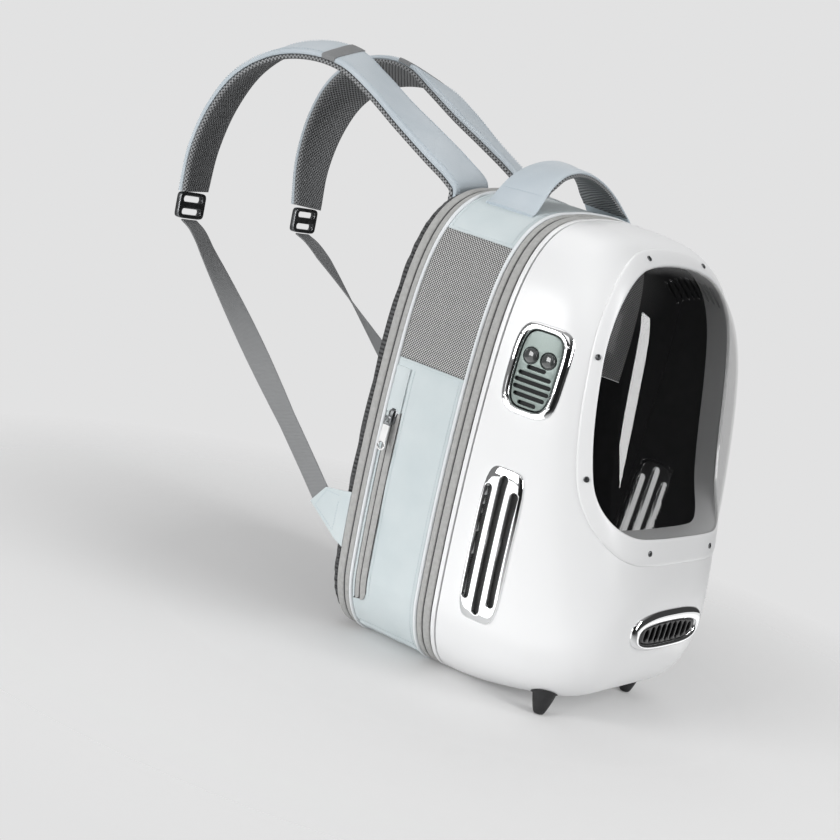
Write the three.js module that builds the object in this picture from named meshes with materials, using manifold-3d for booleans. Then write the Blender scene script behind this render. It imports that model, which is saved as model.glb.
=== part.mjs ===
// Pet carrier backpack: soft zipped body with a domed hard front. Millimetres, +Z up.
// Origin: middle of the flat bottom of the gusset. The window faces -Y, the wearer is at +Y.
import * as THREE from 'three';
import { mergeVertices } from 'three/addons/utils/BufferGeometryUtils.js';
import ManifoldModule from 'manifold-3d';

const wasm = await ManifoldModule();
wasm.setup();

// Clearance between neighbouring pieces.
const GAP = 0.3;

// Half outline of the body in front view, as cubic curves from bottom middle to top middle.
const BODY_HALF = [
  [[0, 0], [20, 0], [41, 0], [62, 0]],
  [[62, 0], [98, 0], [122, 24], [132, 62]],
  [[132, 62], [142, 112], [155, 215], [155, 300]],
  [[155, 300], [155, 385], [135, 432], [55, 437]],
  [[55, 437], [37, 439.5], [18, 440], [0, 440]],
];
const BODY_STEPS = [1, 6, 4, 7, 2];

// Window opening and the outer edge of its frame, in the same view.
const WINDOW_HALF = [
  [[0, 184], [24, 184], [46, 184], [70, 184]],
  [[70, 184], [104, 184], [123, 199], [128, 226]],
  [[128, 226], [133, 254], [134, 296], [130, 328]],
  [[130, 328], [125, 366], [106, 398], [68, 410]],
  [[68, 410], [46, 415.5], [22, 417], [0, 417]],
];
const FRAME_HALF = [
  [[0, 160], [24, 160], [46, 160], [70, 160]],
  [[70, 160], [110, 160], [131, 184], [137, 222]],
  [[137, 222], [141.5, 252], [142.5, 296], [138.5, 332]],
  [[138.5, 332], [133, 376], [112, 410], [70, 423]],
  [[70, 423], [47, 429], [22, 430], [0, 430]],
];
const WINDOW_STEPS = [1, 5, 3, 5, 2];
const WINDOW_MID = [0, 298];
const WINDOW_BULGE = 15;
const WINDOW_BULGE_TOP = 0.1;
const WINDOW_WALL = 2.2;
const FRAME_RISE = 1.4;

// Stations along the depth of the pack.
const RIM_Y = -56;
const LIP = [-55.7, -53.3];
const FRONT_TAPE_SHELL = [-53, -46.6];
const FRONT_COIL = [-46.3, -43.3];
const FRONT_TAPE_GUSSET = [-43, -38.4];
const PIPING_FRONT_Y = -36.2;
const GUSSET = [-34, 37];
const PIPING_BACK_Y = 39.2;
const BACK_TAPE_GUSSET = [41.4, 45.5];
const BACK_COIL = [45.8, 48.8];
const BACK_TAPE_PANEL = [49.1, 55.7];
const PANEL_Y = 56;
const PIPING_RADIUS = 1.9;

// Domed shell: depth of the front at the middle and how it grows downwards.
const SHELL_MID_Z = 230;
const SHELL_DEPTH = 144;
const SHELL_LEAN = 0.27;
const SHELL_TUCK = 1.3e-6;
const SHELL_WALL = 2.5;
// Fullness of the dome's edge.
const SHELL_POWER = 3.6;

// Mesh panels in the sides of the gusset, from lower to upper edge.
const MESH_Z = [275, 397.6];
const GUSSET_WALL = 3;

// Fittings on the sides of the shell: middle in Y and Z, half sizes.
const PANEL = { y: -101, z: 305, a: 28.2, b: 42, rimY: 8.4, rimZ: 6.6 };
const PANEL_SLOTS = [[306.5, 9.3], [300, 16], [293.7, 18], [287.3, 17.7], [281, 15.4], [274.5, 9]];
const BUTTON_Z = 316.5;
const BUTTON_SPREAD = 8.6;
const BUTTON_RADIUS = 7.2;
const LOUVER = { y: -101, z: 142, a: 21, b: 73 };
const LOUVER_SLOTS = [[-13.6, 54.5], [0, 66], [13.6, 54.5]];
const VENT = { z: 99, a: 70, b: 19.7 };
const GRILLE = { z: 96, a: 57, b: 10.5, pitch: 11, slot: 3.1 };
const FOOT = { x: 86, y: -165, top: 12.5, tip: 5 };

const COLOURS = {
  shell: 0xf4f5f5, window: 0x23262a, chrome: 0xc9cdd0, plate: 0x9aa5a0, tape: 0xb5b4b0,
  coil: 0x4c4d4f, piping: 0xf2f4f4, cloth: 0xd0dde2, strap: 0xc3d0d8, mesh: 0x9a9da0,
  spacer: 0x5e6165, rubber: 0x17181a, webbing: 0x8a8d90, grille: 0x202225, metal: 0x55585c,
};

const clamp = (v, low, high) => Math.min(high, Math.max(low, v));
const at = (x, y, z) => new THREE.Vector3(x, y, z);

// Point of a cubic curve in the plane.
function cubic([a, b, c, d], t) {
  const s = 1 - t;
  const w = [s * s * s, 3 * s * s * t, 3 * s * t * t, t * t * t];
  return [0, 1].map((k) => w[0] * a[k] + w[1] * b[k] + w[2] * c[k] + w[3] * d[k]);
}

// Closed loop of a symmetric outline, anticlockwise in front view from the bottom middle.
function closedLoop(half, steps) {
  const right = [];
  half.forEach((curve, k) => {
    for (let i = 0; i < steps[k]; i++) right.push(cubic(curve, i / steps[k]));
  });
  const top = half.at(-1)[3];
  const left = right.slice(1).reverse().map(([x, z]) => [-x, z]);
  return [...right, top, ...left];
}

// Moves a loop outwards by a distance.
function grow(loop, distance) {
  const n = loop.length;
  return loop.map(([x, z], i) => {
    const [x0, z0] = loop[(i + n - 1) % n];
    const [x1, z1] = loop[(i + 1) % n];
    const length = Math.hypot(x1 - x0, z1 - z0);
    return [x + distance * (z1 - z0) / length, z - distance * (x1 - x0) / length];
  });
}

const BODY = closedLoop(BODY_HALF, BODY_STEPS);
const FINE = closedLoop(BODY_HALF, [60, 200, 200, 200, 80]);

// Point of the body outline: 0 bottom middle, 5 top middle, 10 bottom middle again.
function outlineAt(s) {
  const turn = ((s % 10) + 10) % 10;
  const left = turn > 5;
  const u = left ? 10 - turn : turn;
  const k = Math.min(4, Math.floor(u));
  const [x, z] = cubic(BODY_HALF[k], u - k);
  return [left ? -x : x, z];
}

function outlineNormal(s) {
  const [x0, z0] = outlineAt(s - 0.002);
  const [x1, z1] = outlineAt(s + 0.002);
  const length = Math.hypot(x1 - x0, z1 - z0);
  return [(z1 - z0) / length, -(x1 - x0) / length];
}

// Finds where a growing function reaches a value.
function solve(f, value, low, high) {
  let [a, b] = [low, high];
  for (let i = 0; i < 50; i++) {
    const m = (a + b) / 2;
    if (f(m) < value) a = m;
    else b = m;
  }
  return (a + b) / 2;
}

const outlineAtHeight = (z) => solve((s) => outlineAt(s)[1], z, 1, 4.5);
const halfWidth = (z) => outlineAt(outlineAtHeight(z))[0];

// Radius of the body outline around the shell's middle, by direction.
const DIRECTIONS = FINE.map(([x, z]) => [Math.atan2(z - SHELL_MID_Z, x), Math.hypot(x, z - SHELL_MID_Z)])
  .sort((p, q) => p[0] - q[0]);
function outlineRadius(angle) {
  let a = 0;
  let b = DIRECTIONS.length - 1;
  if (angle <= DIRECTIONS[a][0] || angle >= DIRECTIONS[b][0]) return DIRECTIONS[a][1];
  while (b - a > 1) {
    const m = (a + b) >> 1;
    if (DIRECTIONS[m][0] > angle) b = m;
    else a = m;
  }
  const t = (angle - DIRECTIONS[a][0]) / (DIRECTIONS[b][0] - DIRECTIONS[a][0]);
  return DIRECTIONS[a][1] + t * (DIRECTIONS[b][1] - DIRECTIONS[a][1]);
}

const shellDepth = (z) => SHELL_DEPTH + SHELL_LEAN * (SHELL_MID_Z - z) - SHELL_TUCK * (SHELL_MID_Z - z) ** 3;
// How far the dome stands out, from 0 at the rim to 1 in its middle.
const shellRise = (r) => (1 - clamp(r, 0, 1) ** SHELL_POWER) ** (1 / SHELL_POWER);

// Outside of the shell as a height over the front view.
function shellY(x, z) {
  const r = Math.hypot(x, z - SHELL_MID_Z) / outlineRadius(Math.atan2(z - SHELL_MID_Z, x));
  return RIM_Y - shellDepth(z) * shellRise(r);
}
function shellNormal(x, z) {
  const e = 0.5;
  const dx = (shellY(x + e, z) - shellY(x - e, z)) / (2 * e);
  const dz = (shellY(x, z + e) - shellY(x, z - e)) / (2 * e);
  return at(dx, -1, dz).normalize();
}
// Half width of the shell's side at a depth and height, and its underside.
const shellX = (y, z) => solve((x) => shellY(x, z), y, 60, halfWidth(z));
const shellUnderside = (x, y) => solve((z) => -shellY(x, z), -y, 1, SHELL_MID_Z);

// Closed solid from points and triangles, turned to face outwards.
function solid(points, index) {
  let volume = 0;
  for (let i = 0; i < index.length; i += 3) {
    const [a, b, c] = [points[index[i]], points[index[i + 1]], points[index[i + 2]]];
    volume += a.dot(b.clone().cross(c));
  }
  const faces = volume < 0 ? index.slice().reverse() : index;
  const geometry = new THREE.BufferGeometry().setFromPoints(points);
  geometry.setIndex(faces);
  return geometry;
}

// Skin over rings of points. An open run of rings is capped at both ends.
function loft(rings, wrap = false) {
  const n = rings[0].length;
  const points = rings.flat();
  const index = [];
  const spans = wrap ? rings.length : rings.length - 1;
  for (let r = 0; r < spans; r++) {
    const a = r * n;
    const b = ((r + 1) % rings.length) * n;
    for (let i = 0; i < n; i++) {
      const j = (i + 1) % n;
      index.push(a + i, a + j, b + j, a + i, b + j, b + i);
    }
  }
  const fan = (start) => {
    const middle = points.length;
    const centre = at(0, 0, 0);
    for (let i = 0; i < n; i++) centre.add(points[start + i]);
    points.push(centre.divideScalar(n));
    return Array.from({ length: n }, (_, i) => [start + (i + 1) % n, start + i, middle]);
  };
  const twoHalves = (start) => [[start, start + 2, start + 1], [start, start + 3, start + 2]];
  const cap = n > 4 ? fan : twoHalves;
  if (!wrap) {
    for (const face of cap(0)) index.push(...face);
    for (const face of cap((rings.length - 1) * n)) index.push(...face.reverse());
  }
  return solid(points, index);
}

// Boolean work, for cuts and joins only.
function toManifold(geometry) {
  const bare = geometry.clone();
  bare.deleteAttribute('normal');
  bare.deleteAttribute('uv');
  const merged = mergeVertices(bare, 1e-4);
  return new wasm.Manifold(new wasm.Mesh({
    numProp: 3,
    vertProperties: new Float32Array(merged.attributes.position.array),
    triVerts: new Uint32Array(merged.index.array),
  }));
}
function fromManifold(body) {
  const mesh = body.getMesh();
  const geometry = new THREE.BufferGeometry();
  geometry.setAttribute('position', new THREE.BufferAttribute(new Float32Array(mesh.vertProperties), 3));
  geometry.setIndex([...mesh.triVerts]);
  return geometry;
}
function cut(geometry, tools) {
  let body = toManifold(geometry);
  for (const tool of tools) body = body.subtract(toManifold(tool));
  return fromManifold(body);
}
function join(geometry, others) {
  let body = toManifold(geometry);
  for (const other of others) body = body.add(toManifold(other));
  return fromManifold(body);
}

// Flat shape given thickness, then laid on a curved place by place(u, v, height).
function laid(shape, low, high, place, curveSegments = 5) {
  const raw = new THREE.ExtrudeGeometry(shape, { depth: 1, bevelEnabled: false, curveSegments });
  raw.deleteAttribute('normal');
  raw.deleteAttribute('uv');
  const merged = mergeVertices(raw, 1e-4);
  const p = merged.attributes.position;
  const points = [];
  for (let i = 0; i < p.count; i++) points.push(place(p.getX(i), p.getY(i), p.getZ(i) > 0.5 ? high : low));
  return solid(points, [...merged.index.array]);
}
const onLeft = (y, z, h) => at(-shellX(y, z) - h, y, z);
const onRight = (y, z, h) => at(shellX(y, z) + h, y, z);
const onFront = (x, z, h) => at(x, shellY(x, z) - h, z);

// Rounded outlines used on the shell.
function superellipse(u, v, a, b, power, count) {
  const points = [];
  for (let i = 0; i < count; i++) {
    const t = (i + 0.5) * 2 * Math.PI / count;
    const [c, s] = [Math.cos(t), Math.sin(t)];
    points.push(new THREE.Vector2(u + a * Math.sign(c) * Math.abs(c) ** (2 / power),
      v + b * Math.sign(s) * Math.abs(s) ** (2 / power)));
  }
  return points;
}
function stadium(u, v, half, radius, upright, count = 4) {
  const points = [];
  for (const end of [1, -1]) {
    for (let i = 0; i <= count; i++) {
      const t = (end > 0 ? -0.5 : 0.5) * Math.PI + i * Math.PI / count;
      const p = [end * (half - radius) + radius * Math.cos(t), radius * Math.sin(t)];
      points.push(upright ? new THREE.Vector2(u - p[1], v + p[0]) : new THREE.Vector2(u + p[0], v + p[1]));
    }
  }
  return points;
}
const shapeOf = (points, holes = []) => {
  const shape = new THREE.Shape(points);
  shape.holes.push(...holes.map((hole) => new THREE.Path(hole)));
  return shape;
};

// Straight prism along Y over a loop of the front view.
const prismY = (loop, y0, y1) => loft([y0, y1].map((y) => loop.map(([x, z]) => at(x, y, z))));

// Turned solid: profile of radius and height along a direction from a foot point.
function turned(profile, sides, foot, direction) {
  const rings = profile.map(([r, h]) => {
    const ring = [];
    for (let i = 0; i < sides; i++) {
      const t = i * 2 * Math.PI / sides;
      ring.push(at(r * Math.cos(t), r * Math.sin(t), h));
    }
    return ring;
  });
  const turn = new THREE.Quaternion().setFromUnitVectors(at(0, 0, 1), direction.clone().normalize());
  for (const p of rings.flat()) p.applyQuaternion(turn).add(foot);
  return loft(rings);
}

// Ring of cloth around the whole body: offsets from the outline, and its two edges in depth.
function band(inner, outer, [y0, y1]) {
  const low = grow(BODY, inner);
  const high = grow(BODY, outer);
  return loft(BODY.map((_, i) => {
    const [a, b] = [low[i], high[i]];
    const top = Math.max(b[1], 0);
    return [at(a[0], y0, a[1]), at(b[0], y0, top), at(b[0], y1, top), at(a[0], y1, a[1])];
  }), true);
}
// Cord around the whole body, pressed flat where the pack stands.
function cordRing(y, offset, radius) {
  const sides = 6;
  const loops = [];
  for (let k = 0; k < sides; k++) {
    const t = (k + 0.5) * 2 * Math.PI / sides;
    loops.push([grow(BODY, offset + radius * Math.cos(t)), y + radius * Math.sin(t)]);
  }
  const around = (i) => loops.map(([loop, yk]) => at(loop[i][0], yk, Math.max(loop[i][1], 0)));
  return loft(BODY.map((_, i) => around(i)), true);
}
// Part of the gusset between two places on the outline.
function strip(s0, s1, steps, inner, outer, [y0, y1]) {
  const rings = [];
  for (let i = 0; i <= steps; i++) {
    const s = s0 + (s1 - s0) * i / steps;
    const [x, z] = outlineAt(s);
    const [nx, nz] = outlineNormal(s);
    const low = (y) => at(x + inner * nx, y, z + inner * nz);
    const high = (y) => at(x + outer * nx, y, Math.max(0, z + outer * nz));
    rings.push([low(y0), high(y0), high(y1), low(y1)]);
  }
  return loft(rings);
}

// Flat strap between two edges, from the lower to the upper face along its normal.
function ribbon(edgeA, edgeB, low, high) {
  const rings = edgeA.map((a, i) => {
    const b = edgeB[i];
    const prev = Math.max(0, i - 1);
    const next = Math.min(edgeA.length - 1, i + 1);
    const along = edgeA[next].clone().add(edgeB[next]).sub(edgeA[prev]).sub(edgeB[prev]);
    const normal = along.cross(b.clone().sub(a)).normalize();
    const lift = (p, h) => p.clone().addScaledVector(normal, h);
    return [lift(a, low), lift(b, low), lift(b, high), lift(a, high)];
  });
  return loft(rings);
}
const smooth = (rows, count) => new THREE.CatmullRomCurve3(rows.map((p) => at(...p)), false, 'centripetal')
  .getSpacedPoints(count);
const mirrored = (geometry) => {
  const points = [];
  const p = geometry.attributes.position;
  for (let i = 0; i < p.count; i++) points.push(at(-p.getX(i), p.getY(i), p.getZ(i)));
  return solid(points, [...geometry.index.array]);
};

const part = new THREE.Group();
part.name = 'pet_carrier_backpack';
function add(name, geometry, colour, metalness = 0, roughness = 0.7) {
  geometry.computeVertexNormals();
  const material = new THREE.MeshStandardMaterial({ color: COLOURS[colour], metalness, roughness });
  material.name = colour;
  const mesh = new THREE.Mesh(geometry, material);
  mesh.name = name;
  part.add(mesh);
}
const addPair = (name, geometry, colour, metalness, roughness) => {
  add(`${name}_left`, geometry, colour, metalness, roughness);
  add(`${name}_right`, mirrored(geometry), colour, metalness, roughness);
};

// Domed shell, inside and outside, from the rim to the crown.
const SHELL_ROWS = [1, 0.995, 0.975, 0.93, 0.85, 0.72, 0.5, 0.12];
function domeRing(row, inset) {
  return grow(BODY, -inset).map(([lx, lz]) => {
    const x = row * lx;
    const z = SHELL_MID_Z + row * (lz - SHELL_MID_Z);
    return at(x, RIM_Y - (shellDepth(z) - inset) * shellRise(row), z);
  });
}
const windowLoop = closedLoop(WINDOW_HALF, WINDOW_STEPS);
const frameLoop = closedLoop(FRAME_HALF, WINDOW_STEPS);
const panelOutline = superellipse(PANEL.y, PANEL.z, PANEL.a + GAP, PANEL.b + GAP, 4, 24);
const louverOutline = superellipse(LOUVER.y, LOUVER.z, LOUVER.a + GAP, LOUVER.b + GAP, 5, 28);
const ventOutline = superellipse(0, VENT.z, VENT.a + GAP, VENT.b + GAP, 2.8, 28);
const dome = loft([
  ...SHELL_ROWS.slice().reverse().map((row) => domeRing(row, SHELL_WALL)),
  ...SHELL_ROWS.map((row) => domeRing(row, 0)),
]);
add('front_shell', cut(dome, [
  prismY(grow(frameLoop, GAP), -420, -82),
  laid(shapeOf(panelOutline), -20, 20, onLeft),
  laid(shapeOf(louverOutline), -20, 20, onLeft),
  laid(shapeOf(louverOutline), -20, 20, onRight),
  laid(shapeOf(ventOutline), -30, 30, onFront),
]), 'shell', 0, 0.2);

// Window frame: a raised ring let into the shell, with eight screws.
const lean = (x, z) => 1 / Math.max(0.33, -shellNormal(x, z).y);
const frameInner = grow(windowLoop, GAP);
add('window_frame', loft(frameLoop.map((outer, i) => {
  const inner = frameInner[i];
  const up = (p, h) => at(p[0], shellY(p[0], p[1]) - h * lean(p[0], p[1]), p[1]);
  return [up(inner, -2), up(outer, -2), up(outer, FRAME_RISE), up(inner, FRAME_RISE)];
}), true), 'shell', 0, 0.2);
const SCREWS = [[57, 419.5, -0.2], [134.5, 332, 0.5], [133, 228, 0.5], [63, 171.5, -0.25]];
SCREWS.flatMap(([x, z, lift]) => [[-x, z, lift], [x, z, lift]]).forEach(([x, z, lift], i) => {
  const normal = shellNormal(x, z);
  const foot = at(x, shellY(x, z), z).addScaledVector(normal, FRAME_RISE + lift);
  add(`window_screw_${i + 1}`, turned([[2.9, 0], [2.1, 1.2]], 8, foot, normal), 'chrome', 1, 0.2);
});

// Window: clear bubble with slanted slots at its top.
const WINDOW_ROWS = [1, 0.9, 0.7, 0.4, 0.1];
const WINDOW_SLOTS = 9;
function windowRing(row, inside) {
  return windowLoop.map(([lx, lz]) => {
    const x = WINDOW_MID[0] + row * (lx - WINDOW_MID[0]);
    const z = WINDOW_MID[1] + row * (lz - WINDOW_MID[1]);
    const bulge = WINDOW_BULGE + WINDOW_BULGE_TOP * (z - WINDOW_MID[1]);
    const y = shellY(x, z) - bulge * (1 - row ** 2.4) ** 0.75;
    return at(x, inside ? y + WINDOW_WALL * lean(x, z) : y - 0.6, z);
  });
}
const windowSlots = [];
for (let i = 0; i < WINDOW_SLOTS; i++) {
  const u = (i - (WINDOW_SLOTS - 1) / 2) * 11.5;
  const slanted = (p) => [p.x + u - p.y * 0.25, p.y + 402.5 - 0.0026 * u * u];
  const slot = stadium(0, 0, 7.6, 1.7, true, 2).map(slanted);
  windowSlots.push(prismY(slot, -420, -100));
}
add('window', cut(loft([
  ...WINDOW_ROWS.slice().reverse().map((row) => windowRing(row, true)),
  ...WINDOW_ROWS.map((row) => windowRing(row, false)),
]), windowSlots), 'window', 0, 0.1);

// Control panel on the left side: bezel with four screw heads, slotted plate, two push buttons.
const bezelHole = superellipse(PANEL.y, PANEL.z, PANEL.a - PANEL.rimY, PANEL.b - PANEL.rimZ, 4, 24);
const bezelShape = shapeOf(superellipse(PANEL.y, PANEL.z, PANEL.a, PANEL.b, 4, 24), [bezelHole]);
const bezel = laid(bezelShape, -2.2, 2.4, onLeft);
const bezelScrews = [[-21.2, -28], [21.2, -28], [-21.2, 28], [21.2, 28]].map(([u, v]) => turned(
  [[2.1, 0], [1.7, 3.2]], 6, onLeft(PANEL.y + u, PANEL.z + v, 0), at(-1, 0, 0)));
add('control_bezel', join(bezel, bezelScrews), 'chrome', 1, 0.15);
const [plateA, plateB] = [PANEL.a - PANEL.rimY - GAP, PANEL.b - PANEL.rimZ - GAP];
const plateOutline = superellipse(PANEL.y, PANEL.z, plateA, plateB, 4, 24);
const plateSlots = PANEL_SLOTS.map(([z, half]) => stadium(PANEL.y, z, half, 1.8, false, 2));
const buttonPlaces = [PANEL.y + BUTTON_SPREAD, PANEL.y - BUTTON_SPREAD];
const holeRadius = BUTTON_RADIUS + 0.4;
const buttonHoles = buttonPlaces.map((y) => superellipse(y, BUTTON_Z, holeRadius, holeRadius, 2, 14));
const plateShape = shapeOf(plateOutline, [...plateSlots, ...buttonHoles]);
add('control_plate', laid(plateShape, -2, 0.4, onLeft), 'plate', 0, 0.45);
buttonPlaces.forEach((y, i) => {
  const face = onLeft(y, BUTTON_Z, 0);
  const profile = [[8.3, -5.4], [8.3, -4.4], [7.2, -4.4], [7.2, 1.6], [6.2, 2.8], [3.4, 3.6]];
  add(i ? 'light_button' : 'fan_button', turned(profile, 12, face, at(-1, 0, 0)), 'chrome', 1, 0.12);
});

// Side vents with a grey screen behind, and the oval vent low on the front.
const louverSlots = LOUVER_SLOTS.map(([u, half]) => stadium(LOUVER.y + u, LOUVER.z, half, 2.9, true, 3));
const louver = shapeOf(superellipse(LOUVER.y, LOUVER.z, LOUVER.a, LOUVER.b, 5, 28), louverSlots);
addPair('side_vent', laid(louver, -1.4, 2.6, onLeft), 'chrome', 1, 0.15);
const screen = shapeOf(superellipse(LOUVER.y, LOUVER.z, LOUVER.a - 1, LOUVER.b - 1, 5, 20));
addPair('side_screen', laid(screen, -3.6, -2.2, onLeft), 'mesh', 0, 0.8);
const ventHole = superellipse(0, GRILLE.z, GRILLE.a, GRILLE.b, 2.8, 24);
const vent = shapeOf(superellipse(0, VENT.z, VENT.a, VENT.b, 2.8, 28), [ventHole]);
add('front_vent', laid(vent, -2.2, 3.2, onFront), 'chrome', 1, 0.15);
const grilleSlots = [];
for (let i = -4; i <= 4; i++) {
  const reach = (Math.abs(i) * GRILLE.pitch + GRILLE.slot) / GRILLE.a;
  const half = GRILLE.b * (1 - reach ** 2.8) ** (1 / 2.8) - 1.8;
  grilleSlots.push(stadium(i * GRILLE.pitch, GRILLE.z, half, GRILLE.slot, true, 2));
}
const grilleOutline = superellipse(0, GRILLE.z, GRILLE.a - GAP, GRILLE.b - GAP, 2.8, 24);
add('front_grille', laid(shapeOf(grilleOutline, grilleSlots), -2, 0.8, onFront), 'grille', 0, 0.6);

// Rubber feet under the shell.
const footRing = (radius, height) => Array.from({ length: 12 }, (_, i) => {
  const t = i * Math.PI / 6;
  const [x, y] = [-FOOT.x + radius * Math.cos(t), FOOT.y + radius * Math.sin(t)];
  return at(x, y, height ?? shellUnderside(x, y) - 0.75);
});
const footRings = [footRing(FOOT.tip, 0), footRing(FOOT.tip + 1, 1.5), footRing(9.4, 13), footRing(FOOT.top)];
addPair('foot', loft(footRings), 'rubber', 0, 0.7);

// Edge of the shell and the two zips around the body.
add('shell_rim', band(-3, 0.8, LIP), 'shell', 0, 0.35);
add('front_tape_shell', band(-1.8, 0, FRONT_TAPE_SHELL), 'tape');
add('front_coil', band(-2.2, -0.5, FRONT_COIL), 'coil');
add('front_tape_gusset', band(-1.8, 0, FRONT_TAPE_GUSSET), 'tape');
add('piping_front', cordRing(PIPING_FRONT_Y, -0.3, PIPING_RADIUS), 'piping');
add('piping_back', cordRing(PIPING_BACK_Y, -0.3, PIPING_RADIUS), 'piping');
add('back_tape_gusset', band(-1.8, 0, BACK_TAPE_GUSSET), 'tape');
add('back_coil', band(-2.2, -0.5, BACK_COIL), 'coil');
add('back_tape_panel', band(-1.8, 0, BACK_TAPE_PANEL), 'tape');

// Plain sliders of the two zips, on the side that the photo doesn't show.
function zipSlider([y0, y1], z) {
  const x = halfWidth(z);
  const middle = (y0 + y1) / 2;
  const box = [[-4, -1], [4, -1], [4, 1], [-4, 1]];
  return loft([GAP, 3, 4.2].map((h, k) => box.map(([y, v]) => at(x + h,
    middle + y * (k === 2 ? 0.7 : 1), z + v * (k === 2 ? 6 : 8)))));
}
add('front_slider', zipSlider(FRONT_COIL, 300), 'metal', 1, 0.4);
add('back_slider', zipSlider(BACK_COIL, 300), 'metal', 1, 0.4);

// Gusset: cloth across the top and around the bottom, mesh in both upper sides.
const [meshLow, meshHigh] = MESH_Z.map(outlineAtHeight);
const [clothLow, clothHigh] = [outlineAtHeight(MESH_Z[0] - GAP), outlineAtHeight(MESH_Z[1] + GAP)];
add('gusset_top', strip(clothHigh, 10 - clothHigh, 16, -GUSSET_WALL, 0, GUSSET), 'cloth');
add('gusset_lower', strip(-clothLow, clothLow, 32, -GUSSET_WALL, 0, GUSSET), 'cloth');
add('mesh_left', strip(10 - meshHigh, 10 - meshLow, 10, -2, 0, GUSSET), 'mesh');
add('mesh_right', strip(meshLow, meshHigh, 10, -2, 0, GUSSET), 'mesh');

// Padded back panel.
const PANEL_RINGS = [[-3.4, PANEL_Y], [-3.4, 65], [-7, 70.2], [-16, 72]];
const panelRing = ([offset, y]) => grow(BODY, offset).map(([x, z]) => at(x, y, z));
add('back_panel', loft(PANEL_RINGS.map(panelRing)), 'cloth');

// Handle over the top: right half of its upper face, in X and Z.
const HANDLE_HALF_WIDTH = 25.6;
const HANDLE = [[108, 426.2], [98, 431.4], [88, 440], [75, 454], [58, 466.5], [32, 474.5], [0, 476.5]];
const handleTop = [...HANDLE.map(([x, z]) => [-x, z]), ...HANDLE.slice(0, -1).reverse()];
const handleEdge = (y) => smooth(handleTop.map(([x, z]) => [x, y, z]), 26);
const handleFront = handleEdge(-HANDLE_HALF_WIDTH);
const handleBack = handleEdge(HANDLE_HALF_WIDTH);
add('handle_cover', ribbon(handleFront, handleBack, -3, 0), 'strap');
const handleInner = (edge) => edge.slice(5, -5).map((p) => p.clone());
add('handle_lining', ribbon(handleInner(handleFront), handleInner(handleBack), -5.6, -3.3), 'spacer');

// Shoulder straps: inner and outer edge of the upper face, from the back panel to the buckle.
const STRAP_INNER = [
  [-40, 73, 396], [-40, 73, 420], [-40, 82, 448], [-40, 104, 466], [-40, 155, 493], [-40, 200, 515],
  [-42, 245, 528.5], [-46, 285, 528], [-52, 325, 513], [-58, 355, 483],
  [-64, 372, 440], [-70, 377, 392], [-76, 372, 347],
];
const STRAP_OUTER = [
  [-95, 73, 380], [-95, 73, 403], [-95, 82, 427], [-95, 107, 443.5], [-95, 138, 461], [-97, 183, 489],
  [-100, 223, 508], [-104, 265, 512.5], [-108, 308, 501], [-112, 342, 474],
  [-115, 362, 436], [-117, 371, 390], [-118, 368, 345],
];
const STRAP_STATIONS = 24;
const strapInner = smooth(STRAP_INNER, STRAP_STATIONS);
const strapOuter = smooth(STRAP_OUTER, STRAP_STATIONS);
const COVER = 5;
const SPACER = 4.5;
addPair('strap_cover', ribbon(strapInner, strapOuter, -COVER, 0), 'strap');
addPair('strap_mesh', ribbon(strapOuter, strapInner, COVER + GAP + SPACER, COVER + GAP), 'spacer');
const bandEdge = (edge) => edge.slice(11, 14);
addPair('strap_band', ribbon(bandEdge(strapOuter), bandEdge(strapInner), -GAP, -1.6), 'webbing');

// Plain adjuster at the end of the strap, then webbing that turns on its way to the sewn tab.
const ADJUSTER = [[-97, 369, 344.6], [-97, 366.4, 318]];
const adjusterEdge = (side) => ADJUSTER.map(([x, y, z]) => at(x + side * 20, y, z));
addPair('adjuster', ribbon(adjusterEdge(1), adjusterEdge(-1), -7, -1), 'metal', 0, 0.5);
const WEB_HALF = 12.5;
const WEB_LEAN = 0.24;
const WEB_PATH = [
  [-97, 361, 317], [-99, 346, 311], [-104, 318, 291], [-112, 250, 239], [-121, 172, 178.5],
  [-127, 122, 139], [-130.9, 98, 120.5], [-131.6, 90, 114.3],
];
const webCentre = smooth(WEB_PATH, 18);
const webEdge = (side) => webCentre.map((p, i) => {
  const turn = clamp((i - 2) / 11, 0, 1) * Math.PI / 2;
  const [flat, upright] = [side * WEB_HALF * Math.cos(turn), side * WEB_HALF * Math.sin(turn)];
  return p.clone().add(at(flat - WEB_LEAN * upright, -0.61 * upright, 0.79 * upright));
});
addPair('webbing', ribbon(webEdge(1), webEdge(-1), -0.8, 0.8), 'webbing');
// Sewn tab: flat along the side as far as TAB_FOLD, then leaning in towards the webbing.
const TAB_UPPER = [[56.4, 136], [66, 134], [89, 129.5]];
const TAB_LOWER = [[56.4, 81], [66, 85], [107, 109]];
const TAB_FOLD = 66;
const TAB_LEAN = 0.2;
const [tabLow, tabHigh] = [TAB_LOWER[0][1], TAB_UPPER[0][1]];
const tabSlope = (halfWidth(tabHigh) - halfWidth(tabLow)) / (tabHigh - tabLow);
const tabX = (y, z) => 1.8 - halfWidth(tabLow) - tabSlope * (z - tabLow)
  + TAB_LEAN * Math.max(0, y - TAB_FOLD);
const tabEdge = (rows) => rows.map(([y, z]) => at(tabX(y, z), y, z));
addPair('webbing_tab', ribbon(tabEdge(TAB_UPPER), tabEdge(TAB_LOWER), -1, 1), 'cloth');

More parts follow.
